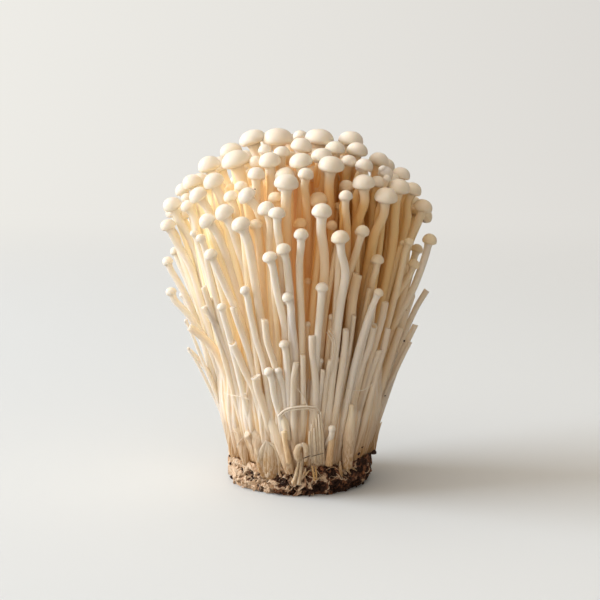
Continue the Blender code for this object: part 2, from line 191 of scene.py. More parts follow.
FLANK = (
    Seen(-42.5, 100.8, 3.5, 0.8, -21),
    Seen(-39.8, 98.9, 4.2, 0.95, -21),
    Seen(-50.2, 93.5, 4.2, -0.6, -21),
    Seen(-53.3, 89.5, 4.5, 0.2, -21, ((169.5, 265), (176.8, 280), (183.5, 291.5), (193, 311))),
    Seen(
        -36.0, 92.3, 5.7, 1.0, -24,
        ((213, 258), (219, 270.5), (225.6, 287), (232, 301), (240, 316), (251, 355)),
    ),
    Seen(-6.8, 94.5, 6.2, 1.0, -15, ((284, 256), (287.8, 272), (289.7, 290), (291, 310))),
    Seen(-12.2, 91.3, 6.2, 1.02, -15, ((270.5, 263), (275.3, 282), (279, 301), (284, 320), (286.5, 342))),
    Seen(43.7, 97.3, 4.0, 0.7, 21),
    Seen(47.0, 94.5, 5.0, -0.3, 18),
    Seen(45.8, 88.3, 5.0, 0.5, 20, ((412.3, 270), (404.7, 280), (397, 293), (388.4, 310))),
    Seen(31.2, 90.3, 5.3, 0.85, 8, ((376.5, 264), (372, 280), (370, 296))),
    Seen(-52.0, 77.3, 4.5, 0.5, -21, ((174.5, 297), (185.4, 310.7), (196, 325), (209, 342))),
    Seen(-47.2, 76.0, 3.2, -0.5, -21),
    Seen(
        -22.3, 77.8, 4.2, 1.0, -20,
        ((245.7, 295.4), (249.5, 310.7), (254.3, 330), (257.5, 345), (263.5, 360)),
    ),
    Seen(-35.5, 74.2, 3.2, 0.8, -18),
    Seen(-31.6, 71.0, 4.0, 1.0, -10, ((222.7, 311.6), (226.5, 325), (231.3, 343))),
    Seen(-5.1, 75.0, 5.0, 1.0, -20, ((287.8, 303), (291.6, 320), (294.5, 343), (296, 365))),
    Seen(8.8, 79.0, 5.2, 1.0, 3, ((322.3, 293), (320, 312.6), (318, 334), (316.5, 355))),
    Seen(31.7, 76.9, 4.0, 1.12, 22, ((376.5, 297.4), (370, 312.6), (364.6, 329), (360, 344), (353, 370))),
    Seen(-6.5, 55.8, 4.3, 1.0, -12, ((285, 350), (287.2, 364.4), (288.7, 383.6), (288.7, 403))),
    Seen(-12.8, 44.5, 4.1, 1.03, -21, ((269.6, 377.4), (273.4, 391), (277, 406.5), (282, 418))),
    Seen(-8.7, 45.0, 3.3, 1.0, -10, ((279.5, 374.4), (282.6, 383.6), (285, 395))),
    Seen(13.2, 21.0, 3.3, 1.07, 5),
)
BROKEN = (
    Seen(-38.5, 71.0, 3.0, 1.0, None, ((212, 318), (220, 332.7), (225, 345), (233, 365))),
    Seen(-27.0, 70.5, 2.6, 1.0, None, ((239, 325), (245.7, 343), (251, 360))),
    Seen(-44.5, 62.5, 3.4, 0.97, None, ((201.7, 336.5), (211, 344.5), (220, 358))),
    Seen(-44.7, 53.0, 1.9, 0.2, None, ((192, 352), (199, 360), (206, 368.5), (213, 381), (217.5, 397))),
    Seen(-27.3, 56.0, 3.0, 1.0, None, ((239, 357), (246, 373), (252.7, 385), (258, 400)), True),
    Seen(-14.2, 65.5, 2.8, 1.0, None, ((267.3, 341), (271.5, 355), (276.5, 369))),
    Seen(-18.0, 42.3, 3.4, 1.0, None, ((257.3, 387.4), (262.7, 403), (267.3, 418), (269.6, 430)), True),
    Seen(4.8, 59.0, 2.8, 1.0, None, ((312.3, 352), (315, 374.6), (316, 392))),
    Seen(1.2, 51.0, 2.1, 1.0, None, ((303, 370), (303.4, 390))),
    Seen(-1.6, 48.0, 2.5, 1.0, None, ((294, 375), (293, 395))),
    Seen(12.4, 49.0, 2.2, 1.0, None, ((327.5, 367), (325.5, 385), (324.5, 400))),
    Seen(18.6, 61.5, 2.6, 1.0, None, ((345.4, 340), (343.6, 357), (341, 374.6), (337.3, 401))),
    Seen(21.8, 67.3, 1.9, 0.95),
    Seen(29.8, 63.0, 2.8, 1.02, None, ((368.6, 348), (361.4, 365.7), (356, 383.6), (351.6, 401)), True),
    Seen(34.3, 72.5, 3.0, 0.95, None, ((382, 318), (377.6, 332))),
    Seen(51.0, 77.5, 2.4, -0.2, None, ((417.7, 305), (408, 324.5))),
    Seen(46.5, 63.3, 2.3, 0.5, None, ((409, 337.5), (402, 352))),
    Seen(-21.7, 18.3, 2.6, 1.0),
)
# Small mushrooms and broken stems that the CAD model leaves out: half hidden or very small.
BETWEEN = (
    Seen(-45.5, 115.0, 4.5, 0.3, -28),
    Seen(33.2, 126.2, 4.0, 0.85, 10),
    Seen(34.8, 122.6, 3.4, 0.9, 20),
    Seen(-17.8, 129.4, 5.2, 0.7),
    Seen(15.2, 111.5, 4.0, 0.6),
    Seen(12.8, 104.0, 4.5, 0.75),
    Seen(3.3, 81.5, 3.0, 0.75),
    Seen(12.9, 67.0, 2.8, 0.9),
    Seen(3.2, 64.0, 2.5, 0.88),
    Seen(8.3, 49.0, 2.5, 0.95),
    Seen(-46.2, 65.2, 1.6, 0.6, -28),
    Seen(-45.2, 53.9, 1.4, 0.4, -28),
)
BETWEEN_BROKEN = (
    Seen(-38.7, 79.0, 2.5, 0.95),
    Seen(9.3, 45.0, 1.8, 1.0, None, ((321.5, 384), (319.5, 398))),
    Seen(15.2, 50.3, 2.0, 0.95),
    Seen(28.0, 78.0, 2.3, 0.88),
    Seen(32.0, 53.0, 2.4, 1.0),
    Seen(35.5, 62.0, 2.6, 1.0),
    Seen(44.6, 56.5, 1.6, 0.6),
    Seen(44.0, 84.0, 3.2, 0.3),
    Seen(45.0, 76.0, 3.4, 0.1),
    Seen(42.5, 69.5, 3.2, 0.4),
    Seen(40.5, 62.0, 3.0, 0.55),
    Seen(14.6, 88.0, 2.4, 0.8),
    Seen(23.0, 84.0, 4.2, 0.9),
)


@dataclass(frozen=True)
class Shape:
    """A stub or strand at the foot, followed from its top down in the front view's pixels."""

    track: tuple[Pixel, ...]
    widths: tuple[float, ...]
    near: float = 1.0
    flat: float = 1.0
    # How much painted shade the piece gets, 0 to 1.
    deep: float = 0.0
    tint: float = 0.0
    sunk: float = 0.0


FOOT_SHAPES = (
    Shape(
        ((352, 405), (351.8, 409), (351, 419), (349.5, 430), (349, 437), (348.2, 450), (347, 467)),
        (1.8, 2.1, 3.0, 4.0, 4.7, 4.5, 4.1),
        1.055,
    ),
    Shape(
        ((332, 430), (331.4, 440), (330.2, 452), (328.7, 465)),
        (1.9, 2.4, 2.7, 2.9), 1.055, 1.0, 0.35, 0.8,
    ),
    Shape(
        ((302, 444.3), (298.6, 446.8), (296.9, 452), (297.6, 458), (299, 462)),
        (1.2, 2.3, 2.9, 2.4, 1.1), 1.05, deep=0.1,
    ),
    Shape(
        ((301.5, 444), (304.8, 445.8), (306.3, 451), (306, 457), (305, 461)),
        (1.5, 2.2, 2.4, 2.0, 1.1), 1.05,
    ),
    Shape(((298.6, 460), (297.4, 468), (295.3, 477), (293.6, 483)), (0.6, 1.1, 1.2, 2.3), 1.05),
    Shape(((300.8, 460), (300.8, 468), (299.8, 477), (298.6, 484)), (0.7, 1.2, 1.3, 2.3), 1.05),
    Shape(((306, 468), (304, 474), (301, 480)), (0.4, 1.1, 0.6), 1.05, 0.6, 0.2),
    Shape(((310, 470), (306, 474), (302, 479)), (0.3, 0.9, 0.5), 1.05, 0.6, 0.4),
    Shape(((312, 466), (313.4, 474), (314.6, 481)), (0.5, 0.9, 0.5), 1.04, 0.6, 1.0, 1.0),
    Shape(((315.4, 466), (316.2, 473), (316.6, 480)), (0.4, 0.8, 0.4), 1.03, 0.6, 1.0, 1.0),
    Shape(
        ((284, 431.6), (284.2, 434), (285, 442), (287, 451), (289, 463)),
        (2.2, 2.1, 1.9, 2.2, 2.5), 1.05, 0.9, 0.25, 0.6,
    ),
    Shape(
        ((266, 442), (261, 448), (258, 457), (258.5, 467), (261, 476)),
        (0.6, 1.2, 1.3, 1.2, 0.8), 0.96, 0.7,
    ),
    Shape(
        ((266.5, 441), (264.5, 449), (263, 459), (263.5, 469), (265, 478)),
        (0.8, 3.4, 4.6, 4.6, 2.4), 0.965, 0.45,
    ),
    Shape(
        ((267, 441), (268, 450), (268, 460), (268.5, 470), (269, 479)),
        (0.8, 3.0, 4.0, 4.0, 2.0), 0.965, 0.45, 0.15, 0.3,
    ),
    Shape(
        ((268, 442), (271.5, 450), (273, 460), (273, 469), (272.5, 478)),
        (0.8, 3.4, 4.6, 4.6, 2.4), 0.965, 0.45, tint=-0.2,
    ),
    Shape(
        ((268, 442), (274, 446), (278, 455), (279.5, 465), (279, 475)),
        (0.6, 1.3, 1.5, 1.4, 0.8), 0.96, 0.7,
    ),
    Shape(
        ((247, 368), (254, 384), (263, 404), (273.4, 424.7), (281, 444), (287, 460), (290, 473)),
        (3.2, 3.5, 3.8, 4.3, 4.8, 4.8, 3.4),
        0.985,
        0.8,
        sunk=0.3,
    ),
    Shape(
        ((272, 380), (278, 398), (282.5, 413), (285.5, 426), (288, 440)),
        (3.0, 3.3, 3.3, 3.1, 2.6), 0.98, sunk=0.2,
    ),
    Shape(
        ((228, 388), (233, 408), (239, 430), (244, 450), (247, 464)),
        (3.4, 4.2, 4.6, 4.8, 3.0), 0.92, 0.7, sunk=0.45,
    ),
    Shape(
        ((238, 380), (246, 404), (254, 426), (259, 444), (262, 462)),
        (2.4, 3.4, 4.4, 4.8, 3.0), 0.96, 0.7, sunk=0.5,
    ),
    Shape(
        ((223, 382), (226, 404), (231, 430), (234, 450), (236, 462)),
        (3.0, 3.6, 4.0, 4.0, 3.0), 0.68, 0.8, sunk=0.45,
    ),
    Shape(((300, 452), (300.5, 462), (298, 473), (295, 483)), (1.2, 2.4, 2.6, 1.6), 1.02, 0.6),
    Shape(((309.5, 431), (309.8, 445), (310.5, 458)), (0.5, 1.3, 1.6), 1.04, 1.0, 0.0, -0.5),
    Shape(((311.5, 424), (312, 440), (313, 462)), (0.5, 1.3, 1.5), 1.03, 1.0, 0.0, 0.4),
    Shape(((314, 428), (314.6, 445), (315.3, 463)), (0.4, 1.2, 1.5), 1.05, 1.0, 0.0, -0.6),
    Shape(((316, 418), (317, 440), (318, 464)), (0.4, 1.3, 1.6), 1.03, 1.0, 0.0, 0.5),
    Shape(((318.6, 414), (319.8, 438), (320.6, 463)), (0.4, 1.2, 1.5), 1.04, 1.0, 0.0, -0.4),
    Shape(((320.6, 412), (322.3, 438), (323, 461)), (0.4, 1.2, 1.4), 1.03, 1.0, 0.0, 0.3),
    Shape(((381.8, 422), (377.5, 429), (374, 438), (371, 452)), (0.3, 2.0, 3.2, 3.6), 0.25, 0.5),
    Shape(((377.5, 431), (373.5, 440), (371.5, 454)), (0.3, 2.0, 2.8), 0.1, 0.5),
    Shape(((340, 461), (340.5, 470), (342, 477)), (0.5, 1.6, 0.5), 1.04, 0.6),
    Shape(((343, 460), (346, 468), (351, 474)), (0.5, 1.5, 0.4), 1.04, 0.6),
    Shape(((345, 459), (350, 466), (357, 471)), (0.5, 1.2, 0.3), 1.04, 0.6),
)


@dataclass(frozen=True)
class Spot:
    """A patch of the growing medium in the front view: 1 is pale threads, -1 is a hollow, darkened with
    painted shade.
    """

    place: Pixel
    reach: float
    pale: float


SPOTS = (
    Spot((251, 475), 2.7, -0.9),
    Spot((241.5, 469), 1.6, -0.6),
    Spot((275, 475), 2.4, -0.9),
    Spot((283, 481), 2.6, -0.8),
    Spot((235.5, 467.5), 1.5, -0.9),
    Spot((232, 478), 1.5, -0.8),
    Spot((293, 491), 1.7, -1.0),
    Spot((307, 489), 2.6, -0.9),
    Spot((318, 487), 3.6, -1.0),
    Spot((331, 473), 2.8, -0.8),
    Spot((336, 486), 3.6, -0.9),
    Spot((362, 468), 4.6, -0.75),
    Spot((354, 486), 4.2, -0.8),
    Spot((370, 480), 3.6, -0.8),
    Spot((260, 483), 1.8, 1.0),
    Spot((293.7, 481), 1.8, 1.0),
    Spot((250, 490), 4.2, 0.8),
    Spot((266, 489), 2.6, 0.7),
    Spot((266, 468), 3.0, 1.0),
    Spot((241, 485), 2.5, 0.7),
    Spot((299, 473), 2.2, 1.0),
    Spot((345, 469), 2.0, 0.8),
    Spot((237, 459), 2.6, 0.8),
    Spot((284, 464), 2.8, 0.9),
)


@dataclass(frozen=True)
class Speck:
    """A crumb of the medium that lies by itself: both ends in the front view's pixels, and its width."""

    start: Pixel
    end: Pixel
    width: float


SPECKS: tuple[Speck, ...] = (
    Speck((350.0, 447.6), (353.6, 444.4), 1.0),
    Speck((357.8, 455.2), (360.0, 452.4), 0.9),
    Speck((361.6, 448.0), (363.4, 446.4), 0.6),
    Speck((311.0, 456.6), (324.0, 453.0), 0.3),
    Speck((403.6, 341.6), (405.0, 340.2), 0.8),
    Speck((384.4, 396.2), (386.0, 395.2), 0.5),
    Speck((254.7, 188.9), (255.5, 189.5), 0.5),
    Speck((229.0, 456.4), (231.2, 455.0), 1.2),
    Speck((229.8, 464.4), (231.8, 462.6), 1.4),
    Speck((230.6, 478.0), (232.6, 476.0), 1.6),
    Speck((376.0, 451.0), (371.5, 453.4), 1.9),
    Speck((257.8, 475.4), (260.2, 473.4), 0.9),
    Speck((303.5, 458.4), (310.5, 455.6), 0.5),
)


@dataclass(frozen=True)
class Viewpoint:
    """Where the front view was taken from: a level camera turned down a little, with a long lens."""

    lens: float = 85.0
    sensor: float = 36.0
    back: float = 565.0
    height: float = 153.0
    down: float = math.radians(8.0)
    pixels: int = 600

    @property
    def eye(self) -> Vector:
        """The camera's place.

        Returns:
            The place, in millimetres.
        """
        return Vector((0.0, -self.back, self.height))

    def on_axis_plane(self, pixel: Pixel) -> Pixel:
        """Reads a pixel of the front view on the upright plane through the axis.

        Args:
            pixel: Its column and row.

        Returns:
            How far across and how far up it is there, in millimetres.
        """
        focal = self.lens / self.sensor * self.pixels
        half = 0.5 * self.pixels
        right = (pixel[0] - half) / focal
        rise = (half - pixel[1]) / focal
        forward = math.cos(self.down) + rise * math.sin(self.down)
        upward = rise * math.cos(self.down) - math.sin(self.down)
        return self.back * right / forward, self.height + self.back * upward / forward


@dataclass(frozen=True)
class Envelope:
    """The form of the whole bunch, with the same numbers as the CAD model."""

    foot_r: float = 27.5
    spread_r: float = 53.0
    shoulder_z: float = 100.0
    crown_z: float = 140.0
    flare: float = 1.12
    edge_depth: float = 16.0
    root_z: float = 14.2
    root_r: float = 26.9
    root_lean: float = math.tan(math.radians(16.5))
    view: Viewpoint = field(default_factory=Viewpoint)

    def skin(self, height: float) -> float:
        """The radius of the surface through the caps.

        Args:
            height: Height above the table.

        Returns:
            The radius there.
        """
        if height < self.shoulder_z:
            share = max(0.0, height) / self.shoulder_z
            return self.foot_r + (self.spread_r - self.foot_r) * share**self.flare
        rise = min(1.0, (height - self.shoulder_z) / (self.crown_z - self.shoulder_z))
        return self.spread_r * math.sqrt(1.0 - rise * rise)

    def seen_at(self, across: float, up: float, near: float) -> Vector:
        """The point of the bunch that the front view shows at a place on the axis plane.

        Args:
            across: How far right of the axis.
            up: How far above the table.
            near: 1 on the skin that faces us, 0 on the axis plane, below 0 behind it.

        Returns:
            The point, carried along the line of sight to its own depth.
        """
        on_plane = Vector((across, 0.0, up))
        place = on_plane.copy()
        for _ in range(4):
            chord = self.skin(place.z) ** 2 - place.x**2
            depth = -near * math.sqrt(max(self.edge_depth**2, chord))
            place = self.view.eye.lerp(on_plane, (depth + self.view.back) / self.view.back)
        return place

    def buried(self, place: Vector) -> float:
        """How deep inside the bunch a point lies.

        Args:
            place: The point.

        Returns:
            Millimetres inside the skin, along the radius or down from the dome, whichever is less.
        """
        sideways = self.skin(min(place.z, self.shoulder_z)) - math.hypot(place.x, place.y)
        inside = 1.0 - (place.x**2 + place.y**2) / self.spread_r**2
        roof = self.shoulder_z + (self.crown_z - self.shoulder_z) * math.sqrt(max(0.0, inside))
        return min(sideways, roof - place.z)


class Growth(Enum):
    """What a stem ends in."""

    CAP = "cap"
    BROKEN = "broken"


@dataclass
class Sprout:
    """One mushroom or broken stem, placed: its stem's centre line from root to tip, and its cap."""

    growth: Growth
    path: list[Vector]
    stem_r: float
    width: float
    axis: Vector
    centre: Vector
    fine: bool
    tint: float
    hollow: bool = False


def part_way(value: float, start: float, reach: float) -> float:
    """How far a value has come from a start over a reach.

    Args:
        value: The value.
        start: Where the way starts.
        reach: How long it is.

    Returns:
        0 up to the start, 1 past the reach, and the share between them.
    """
    return min(1.0, max(0.0, (value - start) / reach))


def catmull(points: Sequence[Vector], per_span: int) -> list[Vector]:
    """A smooth line through points.

    Args:
        points: The points, two or more.
        per_span: How many places between each point and the next.

    Returns:
        Places along the line, both ends included.
    """
    ends = [2 * points[0] - points[1], *points, 2 * points[-1] - points[-2]]
    spans = [max(1e-6, (b - a).length) for a, b in zip(ends, ends[1:])]
    slopes = [(b - a) / span for a, b, span in zip(ends, ends[1:], spans)]
    ways = [(s * j + r * k) / (j + k) for s, r, k, j in zip(slopes, slopes[1:], spans, spans[1:])]
    line = []
    for i in range(1, len(ends) - 2):
        a, b, span = ends[i], ends[i + 1], spans[i]
        for k in range(per_span):
            t = k / per_span
            bend = ways[i - 1] * t * (1 - t) ** 2 - ways[i] * t * t * (1 - t)
            line.append(a.lerp(b, t * t * (3 - 2 * t)) + bend * span)
    line.append(points[-1].copy())
    return line


@dataclass
class Planting:
    """Places every mushroom and broken stem of the bunch."""

    form: Envelope
    seed: int = SEED
    stem_least: float = 1.5
    stem_per_cap: float = 0.245
    dome_count: int = 138
    dome_top_z: float = 139.5
    dome_rim_z: float = 101.0
    dome_cap: Pixel = (6.5, 11.0)
    flank_count: int = 40
    flank_low_z: float = 46.0
    flank_cap: Pixel = (3.8, 6.4)
    top_z: float = 119.0
    top_front_y: float = -26.0
    top_sink: float = 3.5
    elbow_room: float = 0.56
    inner_count: int = 150
    inner_sink: Pixel = (5.0, 22.0)
    inner_cap: Pixel = (4.5, 8.0)
    inner_front_y: float = -14.0
    inner_half: float = 34.0
    far_broken_count: int = 40
    companion_near: float = 0.65
    companion_z: float = 72.0
    companion_back: tuple[Pixel, ...] = ((3.0, 4.5), (6.0, 9.0), (11.0, 16.0))
    companion_sway: float = 1.2
    upright: float = 0.27
    eased: int = 8
    held: int = 7
    hidden_y: float = 24.0
    edge_top_z: float = 106.0
    sprouts: list[Sprout] = field(default_factory=list)

    def plant(self) -> list[Sprout]:
        """Places them all.

        Returns:
            The sprouts, those that the front view shows first.
        """
        rng = random.Random(self.seed)
        leading = [(self.form.seen_at(s.across, s.up, s.near), s.width) for s in CROWN + SHOULDER + FLANK]
        far = self.far_side(leading, rng)
        look = random.Random(self.seed + 1)
        for seen in CROWN + SHOULDER + FLANK + BETWEEN:
            self.sprouts.append(self.from_view(seen, Growth.CAP, look))
        for seen in BROKEN + BETWEEN_BROKEN:
            self.sprouts.append(self.from_view(seen, Growth.BROKEN, look))
        for tip, cap in far + self.inner(look):
            self.sprouts.append(self.grown(tip, cap, Growth.CAP, look))
        for tip, cap in self.companions(look):
            self.sprouts.append(self.grown(tip, cap, Growth.CAP, look, self.companion_sway))
        for tip, width in self.far_broken(look):
            self.sprouts.append(self.grown(tip, width, Growth.BROKEN, look))
        return self.sprouts

    def far_side(self, front: list[tuple[Vector, float]], rng: random.Random) -> list[tuple[Vector, float]]:
        """Tips behind and above the front ones, on the CAD model's golden-angle spiral.

        Args:
            front: Tips and widths that are already placed.
            rng: The draw, in the order in which the CAD model uses it.

        Returns:
            Tips and cap widths.
        """
        spots = []
        for i in range(self.dome_count):
            fall = (self.dome_top_z - self.dome_rim_z) * (i + 0.5) / self.dome_count
            spots.append((self.dome_top_z - fall, self.dome_cap))
        for i in range(self.flank_count):
            fall = (self.dome_rim_z - self.flank_low_z) * (i + 0.5) / self.flank_count
            spots.append((self.dome_rim_z - fall, self.flank_cap))
        found: list[tuple[Vector, float]] = []
        for i, (height, widths) in enumerate(spots):
            turn = i * GOLDEN_ANGLE
            cap = rng.uniform(*widths)
            reach = self.form.skin(height) * rng.uniform(0.93, 0.99)
            tip = Vector((reach * math.cos(turn), reach * math.sin(turn), height))
            if tip.y < 0.0:
                tip.z -= self.top_sink
            wanted = tip.y > 0.0 or (tip.z > self.top_z and tip.y > self.top_front_y)
            near = front + found
            crowded = any((tip - other).length < self.elbow_room * (cap + width) for other, width in near)
            at_edge = abs(tip.x) > 0.7 * self.form.skin(height) and height < self.edge_top_z
            peeps = tip.y < self.hidden_y and at_edge
            if wanted and not crowded and not peeps:
                found.append((tip, cap))
        return found

    def companions(self, rng: random.Random) -> list[tuple[Vector, float]]:
        """Mushrooms whose caps hide behind those in the front view, so that their stems close the gaps.

        Args:
            rng: The draw.

        Returns:
            Tips and cap widths.
        """
        found = []
        for seen in CROWN + SHOULDER + FLANK:
            if seen.near < self.companion_near or seen.up < self.companion_z:
                continue
            for back in self.companion_back:
                across = seen.across + rng.gauss(0.0, 0.5)
                tip = self.form.seen_at(across, seen.up - rng.uniform(0.3, 1.6), seen.near)
                tip.x *= 0.98
                sight = (tip - self.form.view.eye).normalized()
                found.append((tip + sight * rng.uniform(*back), seen.width * rng.uniform(0.55, 0.7)))
        return found

    def inner(self, rng: random.Random) -> list[tuple[Vector, float]]:
        """Shorter mushrooms that stand inside the bunch and close it, spread evenly over its section.

        Args:
            rng: The draw.

        Returns:
            Tips and cap widths.
        """
        found = []
        for i in range(self.inner_count):
            share = math.sqrt((i + 0.5) / self.inner_count) * 0.95
            turn = i * GOLDEN_ANGLE + rng.uniform(-0.2, 0.2)
            reach = self.form.spread_r * share * 0.93
            dome = (self.form.crown_z - self.form.shoulder_z) * math.sqrt(1.0 - share**2)
            roof = self.form.shoulder_z + dome
            height = roof - rng.uniform(*self.inner_sink) - 18.0 * share**3
            tip = Vector((reach * math.cos(turn), reach * math.sin(turn), height))
            width = rng.uniform(*self.inner_cap)
            edge = abs(tip.x) > self.inner_half and tip.y < self.hidden_y
            if (tip.y > self.inner_front_y and not edge) or height > self.top_z:
                found.append((tip, width))
        return found

    def far_broken(self, rng: random.Random) -> Iterator[tuple[Vector, float]]:
        """Broken stems low on the far side.

        Args:
            rng: The draw.

        Yields:
            Tips and stem widths.
        """
        for i in range(self.far_broken_count):
            turn = math.pi * (i + 0.5) / self.far_broken_count + rng.uniform(-0.03, 0.03)
            height = rng.uniform(22.0, 76.0)
            reach = self.form.skin(height) * rng.uniform(0.96, 1.0)
            yield Vector((reach * math.cos(turn), reach * math.sin(turn), height)), rng.uniform(1.8, 3.2)

    def stem_radius(self, growth: Growth, width: float) -> float:
        """A stem's radius.

        Args:
            growth: What the stem ends in.
            width: The cap's width, or the broken stem's own.

        Returns:
            The radius.
        """
        if growth is Growth.BROKEN:
            return 0.5 * width
        return 0.5 * min(self.stem_least + self.stem_per_cap * width, 0.82 * width)

    def root(self, tip: Vector, rng: random.Random) -> tuple[Vector, Vector, float]:
        """Where a stem roots: stems keep their order from the foot to the skin.

        Args:
            tip: The stem's tip.
            rng: The draw.

        Returns:
            The root, the level direction away from the axis, and the stem's share of the way out.
        """
        share = min(1.0, math.hypot(tip.x, tip.y) / self.form.skin(min(tip.z, self.form.shoulder_z)))
        away = Vector((tip.x, tip.y, 0.0)).normalized()
        place = away * self.form.root_r * share * (1.0 - rng.uniform(0.0, 0.08))
        place.z = self.form.root_z - 4.0
        return place, away, share

    def grown(
        self, tip: Vector, width: float, growth: Growth, rng: random.Random, sway_mm: float = 0.6
    ) -> Sprout:
        """A sprout that rises from its root to a tip in one easy bend.

        Args:
            tip: Its tip, or its cap's centre.
            width: The cap's width, or the broken stem's own.
            growth: What it ends in.
            rng: The draw.
            sway_mm: How far it may sway out of its plane.

        Returns:
            The sprout.
        """
        root, away, share = self.root(tip, rng)
        upright = (self.upright - 0.005 * tip.x) * part_way(tip.z, 80.0, 25.0)
        lean = self.form.root_lean * share * (1.0 - upright)
        bend = root + (away * lean + UP) * (tip.z - root.z) * 0.5
        stations = (0.0, 0.22, 0.45, 0.68, 0.88)
        line = [root.lerp(bend, t).lerp(bend.lerp(tip, t), t) for t in stations]
        sway = Vector((rng.gauss(0, sway_mm), rng.gauss(0, 0.6), 0.0)) * min(1.0, tip.z / 100.0)
        for point, t in zip(line, stations):
            wander = Vector((rng.gauss(0, 0.25), rng.gauss(0, 0.25), 0.0)) * (t > 0)
            point += sway * math.sin(math.pi * t) + wander
        end = (tip - bend).normalized()
        tilt = away * rng.uniform(0.05, 0.35) + Vector((rng.gauss(0, 0.12), rng.gauss(0, 0.12), 0.0))
        return self.finished(line, tip, width, growth, (end + tilt).normalized(), rng, fine=False)

    def from_view(self, seen: Seen, growth: Growth, rng: random.Random) -> Sprout:
        """A sprout that the front view shows, along its track where one was followed.

        Args:
            seen: How it looks from the front.
            growth: What it ends in.
            rng: The draw.

        Returns:
            The sprout.
        """
        tip = self.form.seen_at(seen.across, seen.up, seen.near)
        nearness = 1.0 + tip.y / self.form.view.back
        plain = self.grown(tip, seen.width * nearness, growth, rng)
        lean = math.radians(seen.lean) if seen.lean is not None else None
        axis = plain.axis
        if lean is not None:
            axis = Vector((math.sin(lean), -0.16 * seen.near, math.cos(lean))).normalized()
        line = plain.path
        if seen.track:
            along = [self.followed(pixel, plain.path) for pixel in seen.track]
            low = along[-1]
            root, _, _ = self.root(low, rng)
            rest = [root.lerp(low, 0.5)] if low.z - root.z > 25.0 else []
            line = [root, *rest, *reversed(along)]
        elif lean is not None:
            line = [plain.path[0], *(plain.path[len(plain.path) * k // 6] for k in (1, 2, 3, 4))]
        made = self.finished(line, tip, seen.width * nearness, growth, axis, rng, fine=True)
        made.hollow = seen.hollow
        return made

    def followed(self, pixel: Pixel, path: list[Vector]) -> Vector:
        """The point of a stem that the front view shows at a pixel.

        Args:
            pixel: The column and row.
            path: The stem's easy bend, root first, which gives the depth at each height.

        Returns:
            The point.
        """
        across, up = self.form.view.on_axis_plane(pixel)
        on_plane = Vector((across, 0.0, up))
        place = on_plane.copy()
        back = self.form.view.back
        for _ in range(4):
            depth = float(np.interp(place.z, [p.z for p in path], [p.y for p in path]))
            place = self.form.view.eye.lerp(on_plane, (depth + back) / back)
        return place

    def finished(
        self,
        line: list[Vector],
        tip: Vector,
        width: float,
        growth: Growth,
        axis: Vector,
        rng: random.Random,
        fine: bool,
    ) -> Sprout:
        """Brings a stem up to its cap along the cap's axis, and smooths it.

        Args:
            line: Points up the stem, root first.
            tip: The cap's centre, or the broken end.
            width: The cap's width, or the broken stem's own.
            growth: What the stem ends in.
            axis: The cap's axis.
            rng: The draw.
            fine: Whether it is modelled finely, to be seen from close by.

        Returns:
            The sprout.
        """
        radius = self.stem_radius(growth, width)
        points = list(line)
        if growth is Growth.CAP:
            neck = tip - axis * 0.24 * width
            below = neck - axis * 0.62 * width
            while len(points) > 2 and points[-1].z > below.z - 0.6 * width:
                points.pop()
            points += [below, neck]
        else:
            while len(points) > 2 and points[-1].z > tip.z - 3.0:
                points.pop()
            points.append(tip)
        path = catmull(points, 5 if fine else 4)
        for _ in range(self.eased):
            threes = zip(path, path[1:], path[2 : 1 - self.held])
            path[1 : -self.held] = [(a + 2 * b + c) / 4 for a, b, c in threes]
        return Sprout(growth, path, radius, width, axis, tip, fine, rng.uniform(-1.0, 1.0))


